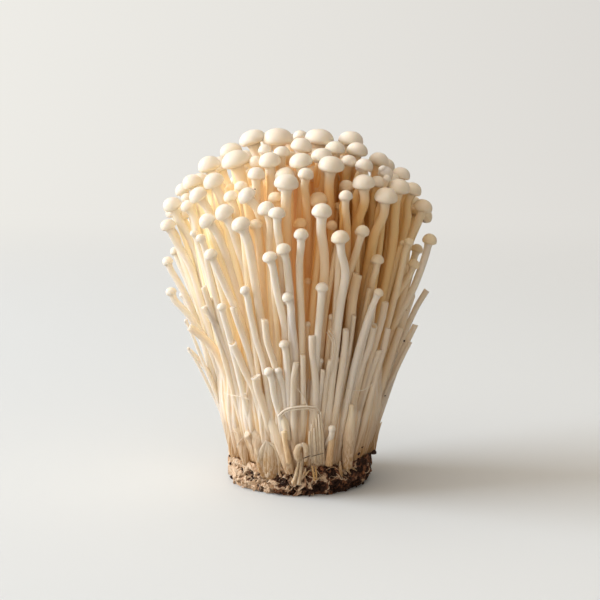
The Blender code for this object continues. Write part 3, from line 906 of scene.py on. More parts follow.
class Skin:
    """Collects rings of points into one mesh, with what its materials read at each point."""

    def __init__(self, name: str) -> None:
        """Starts an empty mesh.

        Args:
            name: The piece's name.
        """
        self.name = name
        self.points: list[np.ndarray] = []
        self.faces: list[tuple[int, ...]] = []
        self.values: dict[str, list[np.ndarray]] = {"tint": [], "deep": [], "pale": []}
        self.fibre: list[np.ndarray] = []
        self.count = 0

    def rings(
        self,
        rings: np.ndarray,
        fibre: np.ndarray,
        tint: float,
        deep: np.ndarray | None = None,
        pale: float = 0.0,
    ) -> None:
        """Adds a tube of rings, all with as many points, closed at both ends.

        Args:
            rings: Points as an array of (ring, side, 3), in millimetres.
            fibre: Points for the grain, of the same shape as rings.
            tint: The piece's own shade, -1 to 1.
            deep: How deep inside the bunch each ring is, 0 to 1, which sets how much painted shade it gets;
                0 where it is left out.
            pale: How pale growing medium is, -1 for a hollow darkened with painted shade to 1 for threads.
        """
        count, sides, _ = rings.shape
        base = self.count
        depths = np.zeros(count) if deep is None else deep
        self.points.append(rings.reshape(-1, 3))
        self.fibre.append(fibre.reshape(-1, 3))
        self.values["tint"].append(np.full(count * sides, tint))
        self.values["deep"].append(np.repeat(depths, sides))
        self.values["pale"].append(np.full(count * sides, pale))
        self.count += count * sides
        for i in range(count - 1):
            row = base + i * sides
            for k in range(sides):
                nxt = (k + 1) % sides
                self.faces.append((row + k, row + nxt, row + sides + nxt, row + sides + k))
        for ring, flip in ((0, True), (count - 1, False)):
            self.points.append(rings[ring].mean(axis=0)[None, :])
            self.fibre.append(fibre[ring].mean(axis=0)[None, :])
            self.values["tint"].append(np.array([tint]))
            self.values["deep"].append(depths[ring : ring + 1])
            self.values["pale"].append(np.array([pale]))
            row = base + ring * sides
            for k in range(sides):
                nxt = (k + 1) % sides
                pair = (row + nxt, row + k) if flip else (row + k, row + nxt)
                self.faces.append((*pair, self.count))
            self.count += 1

    def made(self, material: bpy.types.Material, smooth: bool = True) -> bpy.types.Object:
        """Makes the object.

        Args:
            material: Its material.
            smooth: Whether it is shaded smooth.

        Returns:
            The object, linked to the scene.
        """
        points = np.concatenate(self.points)
        mesh = bpy.data.meshes.new(self.name)
        mesh.from_pydata((points * MM).tolist(), [], self.faces)
        for key, parts in self.values.items():
            mesh.attributes.new(key, "FLOAT", "POINT").data.foreach_set("value", np.concatenate(parts))
        # Painted glow: deep flesh emits light, most on the left, as if the light from the left shone
        # through it.
        lit = np.clip(LIT_SHARE - points[:, 0] / LIT_REACH, 0.05, 1.0)
        glow = np.concatenate(self.values["deep"]) * lit
        mesh.attributes.new("glow", "FLOAT", "POINT").data.foreach_set("value", glow)
        # Painted light: the deep shade turns gold towards the left, where the light comes from.
        off = GOLD_FROM - points[:, 0]
        gold = np.clip(np.where(off > 0.0, off, -0.8 * off) / GOLD_REACH, 0.0, 1.0)
        mesh.attributes.new("gold", "FLOAT", "POINT").data.foreach_set("value", gold)
        # Browner near the medium and towards both sides: partly staining, partly painted shade.
        stain_and_shade = np.clip((STAIN_AND_SHADE_TOP - points[:, 2]) / STAIN_AND_SHADE_REACH, 0.0, 1.0)
        stain_and_shade *= 0.7 + np.abs(points[:, 0]) / STAIN_AND_SHADE_BREADTH
        mesh.attributes.new("stain_and_shade", "FLOAT", "POINT").data.foreach_set("value", stain_and_shade)
        grain = mesh.attributes.new("fibre", "FLOAT_VECTOR", "POINT")
        grain.data.foreach_set("vector", np.concatenate(self.fibre).ravel())
        mesh.materials.append(material)
        if smooth:
            mesh.shade_smooth()
        made = bpy.data.objects.new(self.name, mesh)
        bpy.context.scene.collection.objects.link(made)
        return made


def frames_along(path: np.ndarray) -> tuple[np.ndarray, np.ndarray]:
    """Two directions square to a line at each of its points, that turn as little as they can.

    Args:
        path: Points of the line, as an array of (count, 3).

    Returns:
        The two directions at each point.
    """
    tangents = np.gradient(path, axis=0)
    tangents /= np.linalg.norm(tangents, axis=1)[:, None]
    first = np.cross(tangents[0], (0.0, 1.0, 0.0))
    first /= np.linalg.norm(first)
    sides = []
    for tangent in tangents:
        first = first - tangent * np.dot(first, tangent)
        first = first / np.linalg.norm(first)
        sides.append(first)
    across = np.array(sides)
    return across, np.cross(tangents, across)


def ring_field(centres: np.ndarray, one: np.ndarray, two: np.ndarray, radii: np.ndarray) -> np.ndarray:
    """Rings of points about a line.

    Args:
        centres: The line's points, (count, 3).
        one: The first direction at each, (count, 3).
        two: The second direction at each, (count, 3).
        radii: The radius for each ring and side, (count, sides).

    Returns:
        The points, (count, sides, 3).
    """
    turns = 2.0 * math.pi * np.arange(radii.shape[1]) / radii.shape[1]
    around = one[:, None, :] * np.cos(turns)[None, :, None] + two[:, None, :] * np.sin(turns)[None, :, None]
    return centres[:, None, :] + around * radii[:, :, None]


def waves(rng: random.Random, sides: int, lobes: Iterable[int], size: float) -> np.ndarray:
    """A closed irregular outline, as a factor for the radius on each side.

    Args:
        rng: The draw.
        sides: How many sides.
        lobes: The numbers of lobes to add up.
        size: How large each may be.

    Returns:
        The factors.
    """
    turns = 2.0 * math.pi * np.arange(sides) / sides
    factor = np.ones(sides)
    for lobe in lobes:
        swing = rng.uniform(0.3, 1.0) * size / lobe
        factor += swing * np.cos(lobe * turns + rng.uniform(0.0, 2.0 * math.pi))
    return factor


@dataclass
class Stems:
    """The stems of all the mushrooms, and the broken ones, as two pieces."""

    form: Envelope
    sprouts: list[Sprout]
    fine_sides: int = 12
    plain_sides: int = 7
    deep_at: float = 10.0
    seen_deep: float = 0.66

    def depth_of(self, path: np.ndarray) -> np.ndarray:
        """How deep each point of a stem is.

        Args:
            path: The points, (count, 3).

        Returns:
            0 at the skin to 1 deep inside.
        """
        buried = np.array([self.form.buried(Vector(point)) for point in path])
        return np.clip((buried - 0.8) / self.deep_at, 0.0, 1.0) ** 0.8

    def build(self, dress: "Flesh", foot_dress: "Flesh") -> list[bpy.types.Object]:
        """Models them.

        Args:
            dress: The finish of the whole stems.
            foot_dress: The finish of the broken ones.

        Returns:
            The two pieces.
        """
        whole, broken = Skin("stems"), Skin("broken_stems")
        rng = random.Random(SEED + 2)
        for number, sprout in enumerate(self.sprouts):
            skin = whole if sprout.growth is Growth.CAP else broken
            self.add(skin, sprout, number, rng)
        return [whole.made(dress.material()), broken.made(foot_dress.material())]

    def add(self, skin: Skin, sprout: Sprout, number: int, rng: random.Random) -> None:
        """Adds one stem to a mesh.

        Args:
            skin: The mesh.
            sprout: The sprout.
            number: Its number, which sets its grain apart from the others'.
            rng: The draw.
        """
        sides = self.fine_sides if sprout.fine else self.plain_sides
        path = np.array([tuple(p) for p in sprout.path])
        steps = np.linalg.norm(np.diff(path, axis=0), axis=1)
        along = np.concatenate([[0.0], np.cumsum(steps)])
        left = along[-1] - along
        swell = 1.16 - 0.16 * np.clip(along / 62.0, 0.0, 1.0)
        swell += 0.035 * np.sin(along / rng.uniform(7.0, 12.0) + rng.uniform(0.0, 6.0))
        if sprout.growth is Growth.CAP:
            swell += 0.30 * np.clip(1.0 - left / (0.35 * sprout.width), 0.0, 1.0) ** 1.6
        one, two = frames_along(path)
        outline = waves(rng, sides, (2, 3, 5), 0.07)
        radii = sprout.stem_r * swell[:, None] * outline[None, :]
        rings = ring_field(path, one, two, radii)
        # Painted shade deep in the bunch; fine stems get less of it towards the left, where the light comes
        # from.
        deep = self.depth_of(path)
        if sprout.fine:
            deep *= np.clip(self.seen_deep + path[:, 0] / 60.0, 0.15, 1.0)
        offset = np.array([number * 7.3, number * 3.1, 0.0])
        turns = 2.0 * math.pi * np.arange(sides) / sides
        circle = np.stack([np.cos(turns), np.sin(turns)], axis=1) * sprout.stem_r
        fibre = np.empty_like(rings)
        fibre[:, :, :2] = circle[None, :, :] + offset[None, None, :2]
        fibre[:, :, 2] = along[:, None]
        if sprout.growth is Growth.BROKEN:
            rings, fibre, deep = self.torn_end(rings, fibre, deep, path, sprout, rng)
        skin.rings(rings, fibre, sprout.tint, deep)

    @staticmethod
    def torn_end(
        rings: np.ndarray,
        fibre: np.ndarray,
        deep: np.ndarray,
        path: np.ndarray,
        sprout: Sprout,
        rng: random.Random,
    ) -> tuple[np.ndarray, np.ndarray, np.ndarray]:
        """Gives a broken stem its end: a slanted, slightly flared edge round a shallow hollow.

        Args:
            rings: The stem's rings.
            fibre: Its grain points.
            deep: Its depths.
            path: Its centre line.
            sprout: The sprout.
            rng: The draw.

        Returns:
            The rings, grain points and depths, with the end's added.
        """
        direction = path[-1] - path[-2]
        direction /= np.linalg.norm(direction)
        sides = rings.shape[1]
        turns = 2.0 * math.pi * np.arange(sides) / sides
        slant = rng.uniform(0.05, 0.55) * sprout.stem_r * np.cos(turns + rng.uniform(0.0, 6.3))
        slant += np.array([rng.gauss(0.0, 0.10) for _ in range(sides)]) * sprout.stem_r
        rings[-1] += slant[:, None] * direction
        centre = rings[-1].mean(axis=0)
        outward = rings[-1] - centre
        rings[-1] = centre + outward * (rng.uniform(1.1, 1.2) if sprout.hollow else 1.0)
        edge = centre + outward * 0.84 + direction * 0.12 * sprout.stem_r
        middle = -rng.uniform(0.6, 1.0) if sprout.hollow else rng.uniform(-0.05, 0.22)
        floor = centre + outward * 0.5 + direction * middle * sprout.stem_r
        rings = np.concatenate([rings, np.stack([edge, floor])])
        fibre = np.concatenate([fibre, fibre[-1:], fibre[-1:]])
        # The floor of a hollow end gets painted shade.
        return rings, fibre, np.append(deep, [deep[-1], 0.8 if sprout.hollow else deep[-1]])


@dataclass
class Caps:
    """The caps of all the mushrooms."""

    form: Envelope
    sprouts: list[Sprout]
    fine_sides: int = 26
    plain_sides: int = 13
    fine_rings: int = 11
    plain_rings: int = 7
    shaded: float = 0.5
    shade_right: Pixel = (8.0, 36.0)
    shade_top: float = 124.0
    shade_reach: float = 18.0
    deep_within: Pixel = (3.0, 22.0)
    brim: float = 0.28
    brim_rings: int = 4
    gills: tuple[tuple[float, float], ...] = ((0.22, 0.26), (0.50, 0.17), (0.68, 0.04))

    def profile(self, width: float, rings: int, plump: float) -> list[tuple[float, float]]:
        """A cap's half section, from the middle of its underside round its turned-in edge to its top.

        Args:
            width: The cap's width.
            rings: How many places there are from the edge to the top.
            plump: The dome's height as a share of its width.

        Returns:
            Radii and heights above the cap's centre.
        """
        half, tall = 0.5 * width, plump * width
        brim = self.brim * tall
        outline = [(half * r, -0.5 * tall + tall * z) for r, z in self.gills]
        for i in range(rings + self.brim_rings):
            if i < self.brim_rings:
                t = -0.5 * math.pi * (1.0 - (i + 0.75) / (self.brim_rings + 0.75))
                radius, rise = half * math.cos(t) ** 0.5, brim * math.sin(t)
            else:
                t = 0.5 * math.pi * (i - self.brim_rings) / (rings - 1)
                radius, rise = half * max(0.02, math.cos(t) ** 0.92), (tall - brim) * math.sin(t)
            outline.append((radius, brim - 0.5 * tall + rise))
        return outline

    def build(self, dress: "Flesh") -> bpy.types.Object:
        """Models them.

        Args:
            dress: Their finish.

        Returns:
            The piece.
        """
        skin = Skin("caps")
        rng = random.Random(SEED + 3)
        for number, sprout in enumerate(s for s in self.sprouts if s.growth is Growth.CAP):
            sides = self.fine_sides if sprout.fine else self.plain_sides
            count = self.fine_rings if sprout.fine else self.plain_rings
            width = sprout.width
            plump = 0.79 - 0.021 * width + rng.uniform(-0.04, 0.04)
            section = np.array(self.profile(width, count, plump))
            axis = np.array(tuple(sprout.axis))
            one = np.cross(axis, (0.0, 1.0, 0.0))
            one /= np.linalg.norm(one)
            two = np.cross(axis, one)
            centres = np.array(tuple(sprout.centre)) + section[:, 1:2] * axis
            radii = section[:, :1] * waves(rng, sides, (1, 2, 3), 0.05)[None, :]
            whole = np.ones((len(section), 1))
            rings = ring_field(centres, one * whole, two * whole, radii)
            skew = axis * rng.gauss(0.0, 0.03) + one * rng.gauss(0.0, 0.05)
            rise = np.clip((section[:, 1] / width) + 0.5 * plump, 0.0, 1.0)
            rings += (rise**2)[:, None, None] * skew * width
            # Painted shade: caps deep in the bunch, low on the right side and on their undersides are
            # darker.
            buried = self.form.buried(sprout.centre)
            deep = np.full(len(section), part_way(buried, *self.deep_within))
            right = part_way(sprout.centre.x, *self.shade_right)
            below = part_way(self.shade_top - sprout.centre.z, 0.0, self.shade_reach)
            deep += self.shaded * right * below * (1.0 - deep)
            deep[:3] = 0.9
            offset = np.array([number * 5.7, number * 2.3, number * 1.1])
            skin.rings(rings, rings - centres.mean(axis=0) + offset, sprout.tint, deep)
        return skin.made(dress.material())


@dataclass
class FusedFoot:
    """The foot, where the stems run together into a ribbed mass."""

    form: Envelope
    columns: int = 1300
    rows: int = 60
    low_z: float = 7.0
    high_z: float = 62.0
    ribs: int = 230
    inset: float = 2.4
    sink_from: float = 24.0
    within_medium_z: float = 11.6
    within_medium_r: float = 25.6
    groove: float = -2.0
    grain_r: float = 30.0
    deep_from: float = 46.0
    deep_reach: float = 34.0
    groove_shade: float = 0.62

    def build(self, dress: "Flesh") -> bpy.types.Object:
        """Models it: the outer surface of many upright ribs that lie against each other.

        Args:
            dress: Its finish.

        Returns:
            The piece.
        """
        rng = random.Random(SEED + 4)
        turns = 2.0 * math.pi * np.arange(self.columns) / self.columns
        heights = self.low_z + (self.high_z - self.low_z) * np.linspace(0.0, 1.0, self.rows) ** 1.1
        skin_r = np.array([self.form.skin(h) for h in heights])
        base = skin_r - self.inset - 0.02 * np.clip(heights - self.sink_from, 0.0, None) ** 1.7
        base = np.where(heights < self.within_medium_z, np.minimum(base, self.within_medium_r), base)
        relief = np.full((self.rows, self.columns), self.groove)
        for i in range(self.ribs):
            middle = 2.0 * math.pi * (i + rng.uniform(-0.4, 0.4)) / self.ribs
            half = rng.uniform(0.35, 1.3)
            proud = rng.uniform(-0.55, 0.55)
            drift = rng.gauss(0.0, 0.0009) * (heights - 12.0)
            wander = 0.012 * np.sin(heights / rng.uniform(9.0, 16.0) + rng.uniform(0.0, 6.3))
            off = turns[None, :] - (middle + drift + wander)[:, None]
            off = (off + math.pi) % (2.0 * math.pi) - math.pi
            near = 1.0 - (off * skin_r[:, None] / half) ** 2
            swell = proud + 0.4 * np.sin(heights / rng.uniform(6.0, 14.0) + rng.uniform(0.0, 6.3))
            crest = half * np.sqrt(np.maximum(near, 0.0)) + swell[:, None]
            rib = np.where(near > 0.0, crest, self.groove)
            relief = np.maximum(relief, rib)
        radii = base[:, None] + relief * np.clip((heights - 8.0) / 6.0, 0.15, 1.0)[:, None]
        rings = np.empty((self.rows, self.columns, 3))
        rings[:, :, 0] = radii * np.cos(turns)[None, :]
        rings[:, :, 1] = radii * np.sin(turns)[None, :]
        rings[:, :, 2] = heights[:, None]
        skin = Skin("fused_foot")
        fibre = np.empty_like(rings)
        fibre[:, :, 0] = self.grain_r * np.cos(turns)[None, :]
        fibre[:, :, 1] = self.grain_r * np.sin(turns)[None, :]
        fibre[:, :, 2] = heights[:, None]
        # Painted shade: darker higher up inside the bunch, and in the grooves between the ribs.
        deep = np.clip((heights - self.deep_from) / self.deep_reach, 0.0, 1.0)
        skin.rings(rings, fibre, 0.0, deep)
        low = np.clip(self.groove_shade - relief.reshape(-1) * 0.55, 0.0, 1.0)
        skin.values["deep"][0] = np.maximum(skin.values["deep"][0], low)
        return skin.made(dress.material())


@dataclass
class FootStubs:
    """Stubs, flattened stem ends and torn fibres at the foot."""

    form: Envelope
    shapes: tuple[Shape, ...] = FOOT_SHAPES
    sides: int = 20

    def build(self, dress: "Flesh") -> bpy.types.Object:
        """Models them.

        Args:
            dress: Their finish.

        Returns:
            The piece.
        """
        rng = random.Random(SEED + 7)
        skin = Skin("foot_stubs")
        for number, shape in enumerate(self.shapes):
            points = []
            for k, pixel in enumerate(shape.track):
                near = shape.near - shape.sunk * (1.0 - k / (len(shape.track) - 1.0)) ** 2
                points.append(self.form.seen_at(*self.form.view.on_axis_plane(pixel), near))
            path = np.array([tuple(p) for p in catmull(points, 6)])
            places = np.linspace(0.0, len(shape.widths) - 1.0, len(path))
            radii = 0.5 * np.interp(places, np.arange(len(shape.widths)), shape.widths)
            one, two = frames_along(path)
            outline = waves(rng, self.sides, (2, 3, 5, 7), 0.09)
            rings = ring_field(path, one, two * shape.flat, radii[:, None] * outline[None, :])
            along = np.concatenate([[0.0], np.cumsum(np.linalg.norm(np.diff(path, axis=0), axis=1))])
            fibre = rings + number * 4.1
            fibre[:, :, 2] = along[:, None]
            deep = np.full(len(path), shape.deep)
            skin.rings(rings, fibre, shape.tint, deep)
        return skin.made(dress.material())


@dataclass
class GrowingMedium:
    """The plug of growing medium: pressed crumb, with pale threads grown through it."""

    form: Envelope
    radius: float = 28.6
    flat_r: float = 25.6
    most_r: float = 29.5
    rim_z: float = 11.0
    tuck_z: float = 4.5
    lip: Pixel = (27.2, 10.6)
    seat: Pixel = (26.6, 8.0)
    columns: int = 760
    rows: int = 50
    crumbs: int = 1700
    fibres: int = 2500
    hollow: float = 2.6
    relief: float = 1.0
    rim_reach: float = 1.6
    pale_level: float = 0.26
    patchiness: float = 1.2
    paler_left: float = 0.04
    contact_shadow_z: float = 3.2
    flake_share: float = 0.25
    lifted_share: float = 0.10
    splinter_share: float = 0.2
    centres: list[tuple[Vector, Spot]] = field(default_factory=list)

    def __post_init__(self) -> None:
        """Seeds the noise, and places the patches that the front view shows."""
        noise.seed_set(SEED)
        for spot in SPOTS:
            self.centres.append((self.form.seen_at(*self.form.view.on_axis_plane(spot.place), 0.97), spot))

    def section(self, share: float) -> tuple[float, float]:
        """The plug's outer profile.

        Args:
            share: 0 at the edge of the underside to 1 at the rim.

        Returns:
            The radius and the height there.
        """
        height = self.rim_z * (0.5 - 0.5 * math.cos(math.pi * share))
        tuck = max(0.0, 1.0 - height / self.tuck_z) ** 2
        return self.radius - (self.radius - self.flat_r) * tuck, height

    def surface(self, turn: float, share: float) -> tuple[Vector, float]:
        """A point of the plug's rough side.

        Args:
            turn: Its direction from the axis.
            share: 0 at the edge of the underside to 1 at the rim.

        Returns:
            The point, and how pale it is: -1 for a hollow darkened with painted shade, 0 for crumb, 1 for
                threads.
        """
        radius, height = self.section(share)
        place = Vector((radius * math.cos(turn), radius * math.sin(turn), height))
        warp = noise.noise_vector(place * 0.55) * 1.3
        patch = noise.fractal(place * 0.22, 0.8, 2.1, 3) + 0.5 * noise.noise(place * 0.8)
        leftward = self.paler_left * place.x * (1.0 if place.y < 6.0 else 0.3)
        pale = self.pale_level + self.patchiness * patch - leftward
        pale += 0.45 * part_way(height, 6.5, 4.0) * part_way(-place.x, 4.0, 12.0)
        # Painted contact shadow: darker near the bottom, more towards the right.
        low = max(0.0, 1.0 - height / self.contact_shadow_z)
        pale -= 0.9 * low * min(1.0, max(0.25, (place.x + 14.0) / 16.0))
        hollow = 0.9 * max(0.0, -0.2 - patch)
        for centre, spot in self.centres:
            off = (place + warp - centre).length / spot.reach
            if off > self.rim_reach:
                continue
            weight = min(1.0, max(0.0, 1.9 * (1.0 - off * off)))
            pale += (spot.pale - pale) * weight
            hollow = max(hollow, -spot.pale * (1.0 - off * off))
            if spot.pale < 0.0:
                rim = math.exp(-(((off - 1.12) / 0.16) ** 2)) * -spot.pale
                pale += 0.65 * rim
                hollow -= 0.28 * rim
        pale = min(1.0, max(-1.0, pale))
        ridges = noise.ridged_multi_fractal(place * 0.42, 0.9, 2.2, 4, 0.9, 2.0)
        rough = 1.2 * noise.noise(place * 0.3) + 0.9 * (ridges - 0.9)
        rough += 0.35 * noise.noise(place * 1.6) + 0.16 * noise.noise(place * 4.2)
        side = min(1.0, share / 0.06)
        reach = radius + side * (self.relief * rough + 0.35 * max(0.0, pale) - self.hollow * hollow)
        reach = min(reach, self.most_r - 0.25 * abs(rough))
        lift = 0.55 * noise.noise(place * 1.3 + Vector((9.0, 0.0, 0.0))) * min(1.0, 4.0 * share)
        lift += 0.8 * max(0.0, share - 0.75) / 0.25
        return Vector((reach * math.cos(turn), reach * math.sin(turn), max(0.0, height + lift))), pale

    def build(self, dress: "Crumb", crumb_dress: "Crumb", fibre_dress: "Flesh") -> list[bpy.types.Object]:
        """Models the plug and what is on it.

        Args:
            dress: The plug's finish.
            crumb_dress: The crumbs' finish.
            fibre_dress: The pale threads' finish.

        Returns:
            The pieces.
        """
        turns = 2.0 * math.pi * np.arange(self.columns) / self.columns
        rings = np.empty((self.rows + 2, self.columns, 3))
        pale = np.zeros((self.rows + 2, self.columns))
        for i in range(self.rows):
            for k, turn in enumerate(turns):
                place, pale[i, k] = self.surface(turn, i / (self.rows - 1))
                rings[i, k] = tuple(place)
        for i, (radius, height) in enumerate((self.lip, self.seat), self.rows):
            level = np.full(self.columns, height)
            rings[i] = np.stack([radius * np.cos(turns), radius * np.sin(turns), level], axis=1)
            pale[i] = pale[self.rows - 1]
        skin = Skin("medium_body")
        skin.rings(rings, rings, 0.0)
        skin.values["pale"][0] = pale.reshape(-1)
        return [skin.made(dress.material()), self.crumb_piece(crumb_dress), self.fibre_piece(fibre_dress)]

    def crumb_piece(self, dress: "Crumb") -> bpy.types.Object:
        """Crumbs, husks and splinters pressed into the plug's side.

        Args:
            dress: Their finish.

        Returns:
            The piece.
        """
        rng = random.Random(SEED + 5)
        skin = Skin("medium_crumbs")
        for number in range(self.crumbs):
            turn = rng.uniform(-math.pi, math.pi)
            place, pale = self.surface(turn, rng.uniform(0.06, 1.0))
            flake = rng.random() < self.flake_share
            if not flake and rng.random() < 2.2 * pale:
                continue
            outward = np.array((math.cos(turn), math.sin(turn), 0.0))
            centre = np.array(tuple(place)) + outward * rng.uniform(-0.3, 0.3)
            if rng.random() < self.lifted_share:
                centre[2] += rng.uniform(0.0, 2.2)
            length, thick = rng.uniform(0.9, 3.0), rng.uniform(0.25, 0.8)
            if rng.random() < self.splinter_share:
                length, thick = rng.uniform(2.2, 4.6), rng.uniform(0.18, 0.36)
            way = np.array([rng.gauss(0, 1) for _ in range(3)])
            way -= 0.75 * np.dot(way, outward) * outward
            way /= np.linalg.norm(way)
            if flake:
                length, thick = rng.uniform(1.6, 4.2), rng.uniform(0.35, 0.85)
            stations = np.array([-0.5, -0.3, 0.25, 0.5])
            curl = rng.uniform(0.0, 0.5) * (0.25 - stations**2) * flake
            path = centre + stations[:, None] * way * length + curl[:, None] * outward * length
            one = np.cross(way, outward + 0.01)
            one /= np.linalg.norm(one)
            two = np.cross(way, one)
            turned = rng.gauss(0.0, 0.7)
            cosine, sine = math.cos(turned), math.sin(turned)
            one, two = one * cosine + two * sine, two * cosine - one * sine
            whole = np.ones((4, 1))
            sides = np.array([rng.uniform(0.55, 1.3) for _ in range(6)])
            radii = thick * np.array([0.45, 1.0, 0.85, 0.4])[:, None] * sides[None, :]
            rings = ring_field(path, one * whole, two * whole * (0.18 if flake else 1.0), radii)
            self.add_within(skin, rings, number, rng.uniform(-1.0, 1.0), pale if flake else min(0.0, pale))
        for number, speck in enumerate(SPECKS):
            middle = min(speck.start[0], 600 - speck.end[0]) > 235
            near = 1.14 if middle else 0.5
            planes = [self.form.view.on_axis_plane(pixel) for pixel in (speck.start, speck.end)]
            ends = [self.form.seen_at(*plane, near) for plane in planes]
            path = np.array([tuple(ends[0].lerp(ends[1], t)) for t in (0.0, 0.2, 0.7, 1.0)])
            one, two = frames_along(path)
            taper = np.array([0.4, 1.0, 0.8, 0.35])
            radii = 0.5 * speck.width * taper[:, None] * waves(rng, 7, (2, 3), 0.3)[None, :]
            rings = ring_field(path, one, two, radii)
            skin.rings(rings, rings + number, -1.0)
        return skin.made(dress.material(), smooth=False)

    def fibre_piece(self, dress: "Flesh") -> bpy.types.Object:
        """Pale threads that lie on the plug's side, most where it is palest.

        Args:
            dress: Their finish.

        Returns:
            The piece.
        """
        rng = random.Random(SEED + 8)
        skin = Skin("medium_threads")
        for number in range(self.fibres):
            turn, share = rng.uniform(-math.pi, math.pi), rng.uniform(0.05, 1.0)
            place, pale = self.surface(turn, share)
            if rng.random() > 0.13 + pale:
                continue
            heading, curl = self.lie(place) + rng.gauss(0.0, 0.3), rng.gauss(0.0, 0.22)
            step = rng.uniform(0.4, 1.1)
            points = []
            for _ in range(5):
                place, _ = self.surface(turn, min(1.0, max(0.03, share)))
                away = Vector((place.x, place.y, 0.0)).normalized()
                points.append(place + away * rng.uniform(0.0, 0.25))
                turn += step * math.cos(heading) / self.radius
                share += step * math.sin(heading) / (1.4 * self.rim_z)
                heading += curl
            path = np.array([tuple(p) for p in catmull(points, 3)])
            one, two = frames_along(path)
            taper = 0.4 + 0.6 * np.sin(math.pi * np.linspace(0.06, 0.94, len(path)))
            radii = rng.uniform(0.08, 0.26) * taper[:, None] * np.ones((1, 5))
            self.add_within(skin, ring_field(path, one, two, radii), number, rng.uniform(-1.0, 1.0))
        return skin.made(dress.material())

    def lie(self, place: Vector) -> float:
        """Which way the threads lie at a place: round the hollow near it, or else as their neighbours do.

        Args:
            place: The place on the plug's side.

        Returns:
            The heading, from sideways towards up.
        """
        for centre, spot in self.centres:
            away = place - centre
            if spot.pale < 0.0 and away.length < 1.5 * spot.reach:
                return math.atan2(away.x, -away.z)
        return 2.6 * math.pi * noise.noise(place * 0.11)

    def add_within(
        self, skin: Skin, rings: np.ndarray, number: int, tint: float, pale: float = 0.0
    ) -> None:
        """Adds a small form, kept inside the plug's outline.

        Args:
            skin: The mesh.
            rings: Its rings.
            number: Its number.
            tint: Its own shade.
            pale: How pale it is: 0 for crumb, 1 for threads.
        """
        beyond = np.hypot(rings[:, :, 0], rings[:, :, 1]) / self.most_r
        rings[:, :, :2] /= np.maximum(1.0, beyond)[:, :, None]
        rings[:, :, 2] = np.maximum(rings[:, :, 2], 0.02)
        skin.rings(rings, rings + number * 1.7, tint, pale=pale)


@dataclass
class Threads:
    """Loose strips and fine threads: mushroom fibres torn from the stems, and mycelium at the foot."""

    form: Envelope
    strips: tuple[tuple[tuple[Pixel, ...], float], ...] = (
        (((278.2, 416.4), (283.5, 411.0), (292.8, 407.4), (304.4, 406.4), (318, 407.0)), 0.95),
        (((281.0, 416.0), (287.0, 411.6), (297.2, 409.4), (308.0, 408.8), (319.5, 410.6)), 0.55),
        (((316, 406.4), (319.5, 411), (321.5, 420), (325, 432)), 0.35),
        (((314, 409.0), (317.0, 414), (319, 424), (321, 436)), 0.3),
        (((223, 392.7), (233, 395.4), (240.5, 396.2), (247.4, 392.4)), 0.34),
        (((240.5, 396.2), (250.4, 400.0)), 0.3),
        (((345.4, 388), (356, 390.7), (366, 388.9), (373, 383.6), (382, 373)), 0.34),
        (((296.5, 388), (301, 393), (306, 403), (310, 412)), 0.4),
        (((328.4, 330), (334.6, 340.7), (334.8, 350), (332.9, 358), (331, 372)), 0.5),
        (((326.6, 332), (332.4, 342), (332.4, 352), (330.5, 364)), 0.45),
        (((330.4, 328), (336.8, 340), (336.8, 352), (334.5, 366)), 0.4),
        (((229, 437), (233, 431), (238, 434), (240, 442)), 0.3),
        (((244, 436), (240, 441), (236, 450), (237, 458)), 0.3),
        (((318, 478), (327, 481), (334, 479), (338, 474)), 0.25),
        (((326, 470), (333, 467), (339, 470)), 0.35),
    )

    def build(self, dress: "Flesh") -> bpy.types.Object:
        """Models them.

        Args:
            dress: Their finish.

        Returns:
            The piece.
        """
        rng = random.Random(SEED + 6)
        skin = Skin("loose_threads")
        for number, (track, thick) in enumerate(self.strips):
            points = [self.form.seen_at(*self.form.view.on_axis_plane(p), 1.015) for p in track]
            self.add(skin, catmull(points, 6), 0.5 * thick, number, rng)
        return skin.made(dress.material())

    @staticmethod
    def add(skin: Skin, line: list[Vector], radius: float, number: int, rng: random.Random) -> None:
        """Adds one thread to a mesh.

        Args:
            skin: The mesh.
            line: Its centre line.
            radius: Its radius in the middle.
            number: Its number.
            rng: The draw.
        """
        path = np.array([tuple(p) for p in line])
        one, two = frames_along(path)
        share = np.linspace(0.0, 1.0, len(path))
        radii = radius * (0.45 + 0.55 * np.sin(math.pi * np.clip(share, 0.08, 0.92)))
        rings = ring_field(path, one, two, radii[:, None] * waves(rng, 6, (2,), 0.2)[None, :])
        skin.rings(rings, rings + number * 3.0, rng.uniform(-1.0, 1.0))


def group_input(tree: bpy.types.NodeTree, name: str, kind: str, value: float | Colour) -> None:
    """Adds a named input to a node group.

    Args:
        tree: The group.
        name: The input's name.
        kind: Its socket type.
        value: Its default.
    """
    made = tree.interface.new_socket(name, in_out="INPUT", socket_type=kind)
    made.default_value = (*value, 1.0) if isinstance(value, tuple) else value


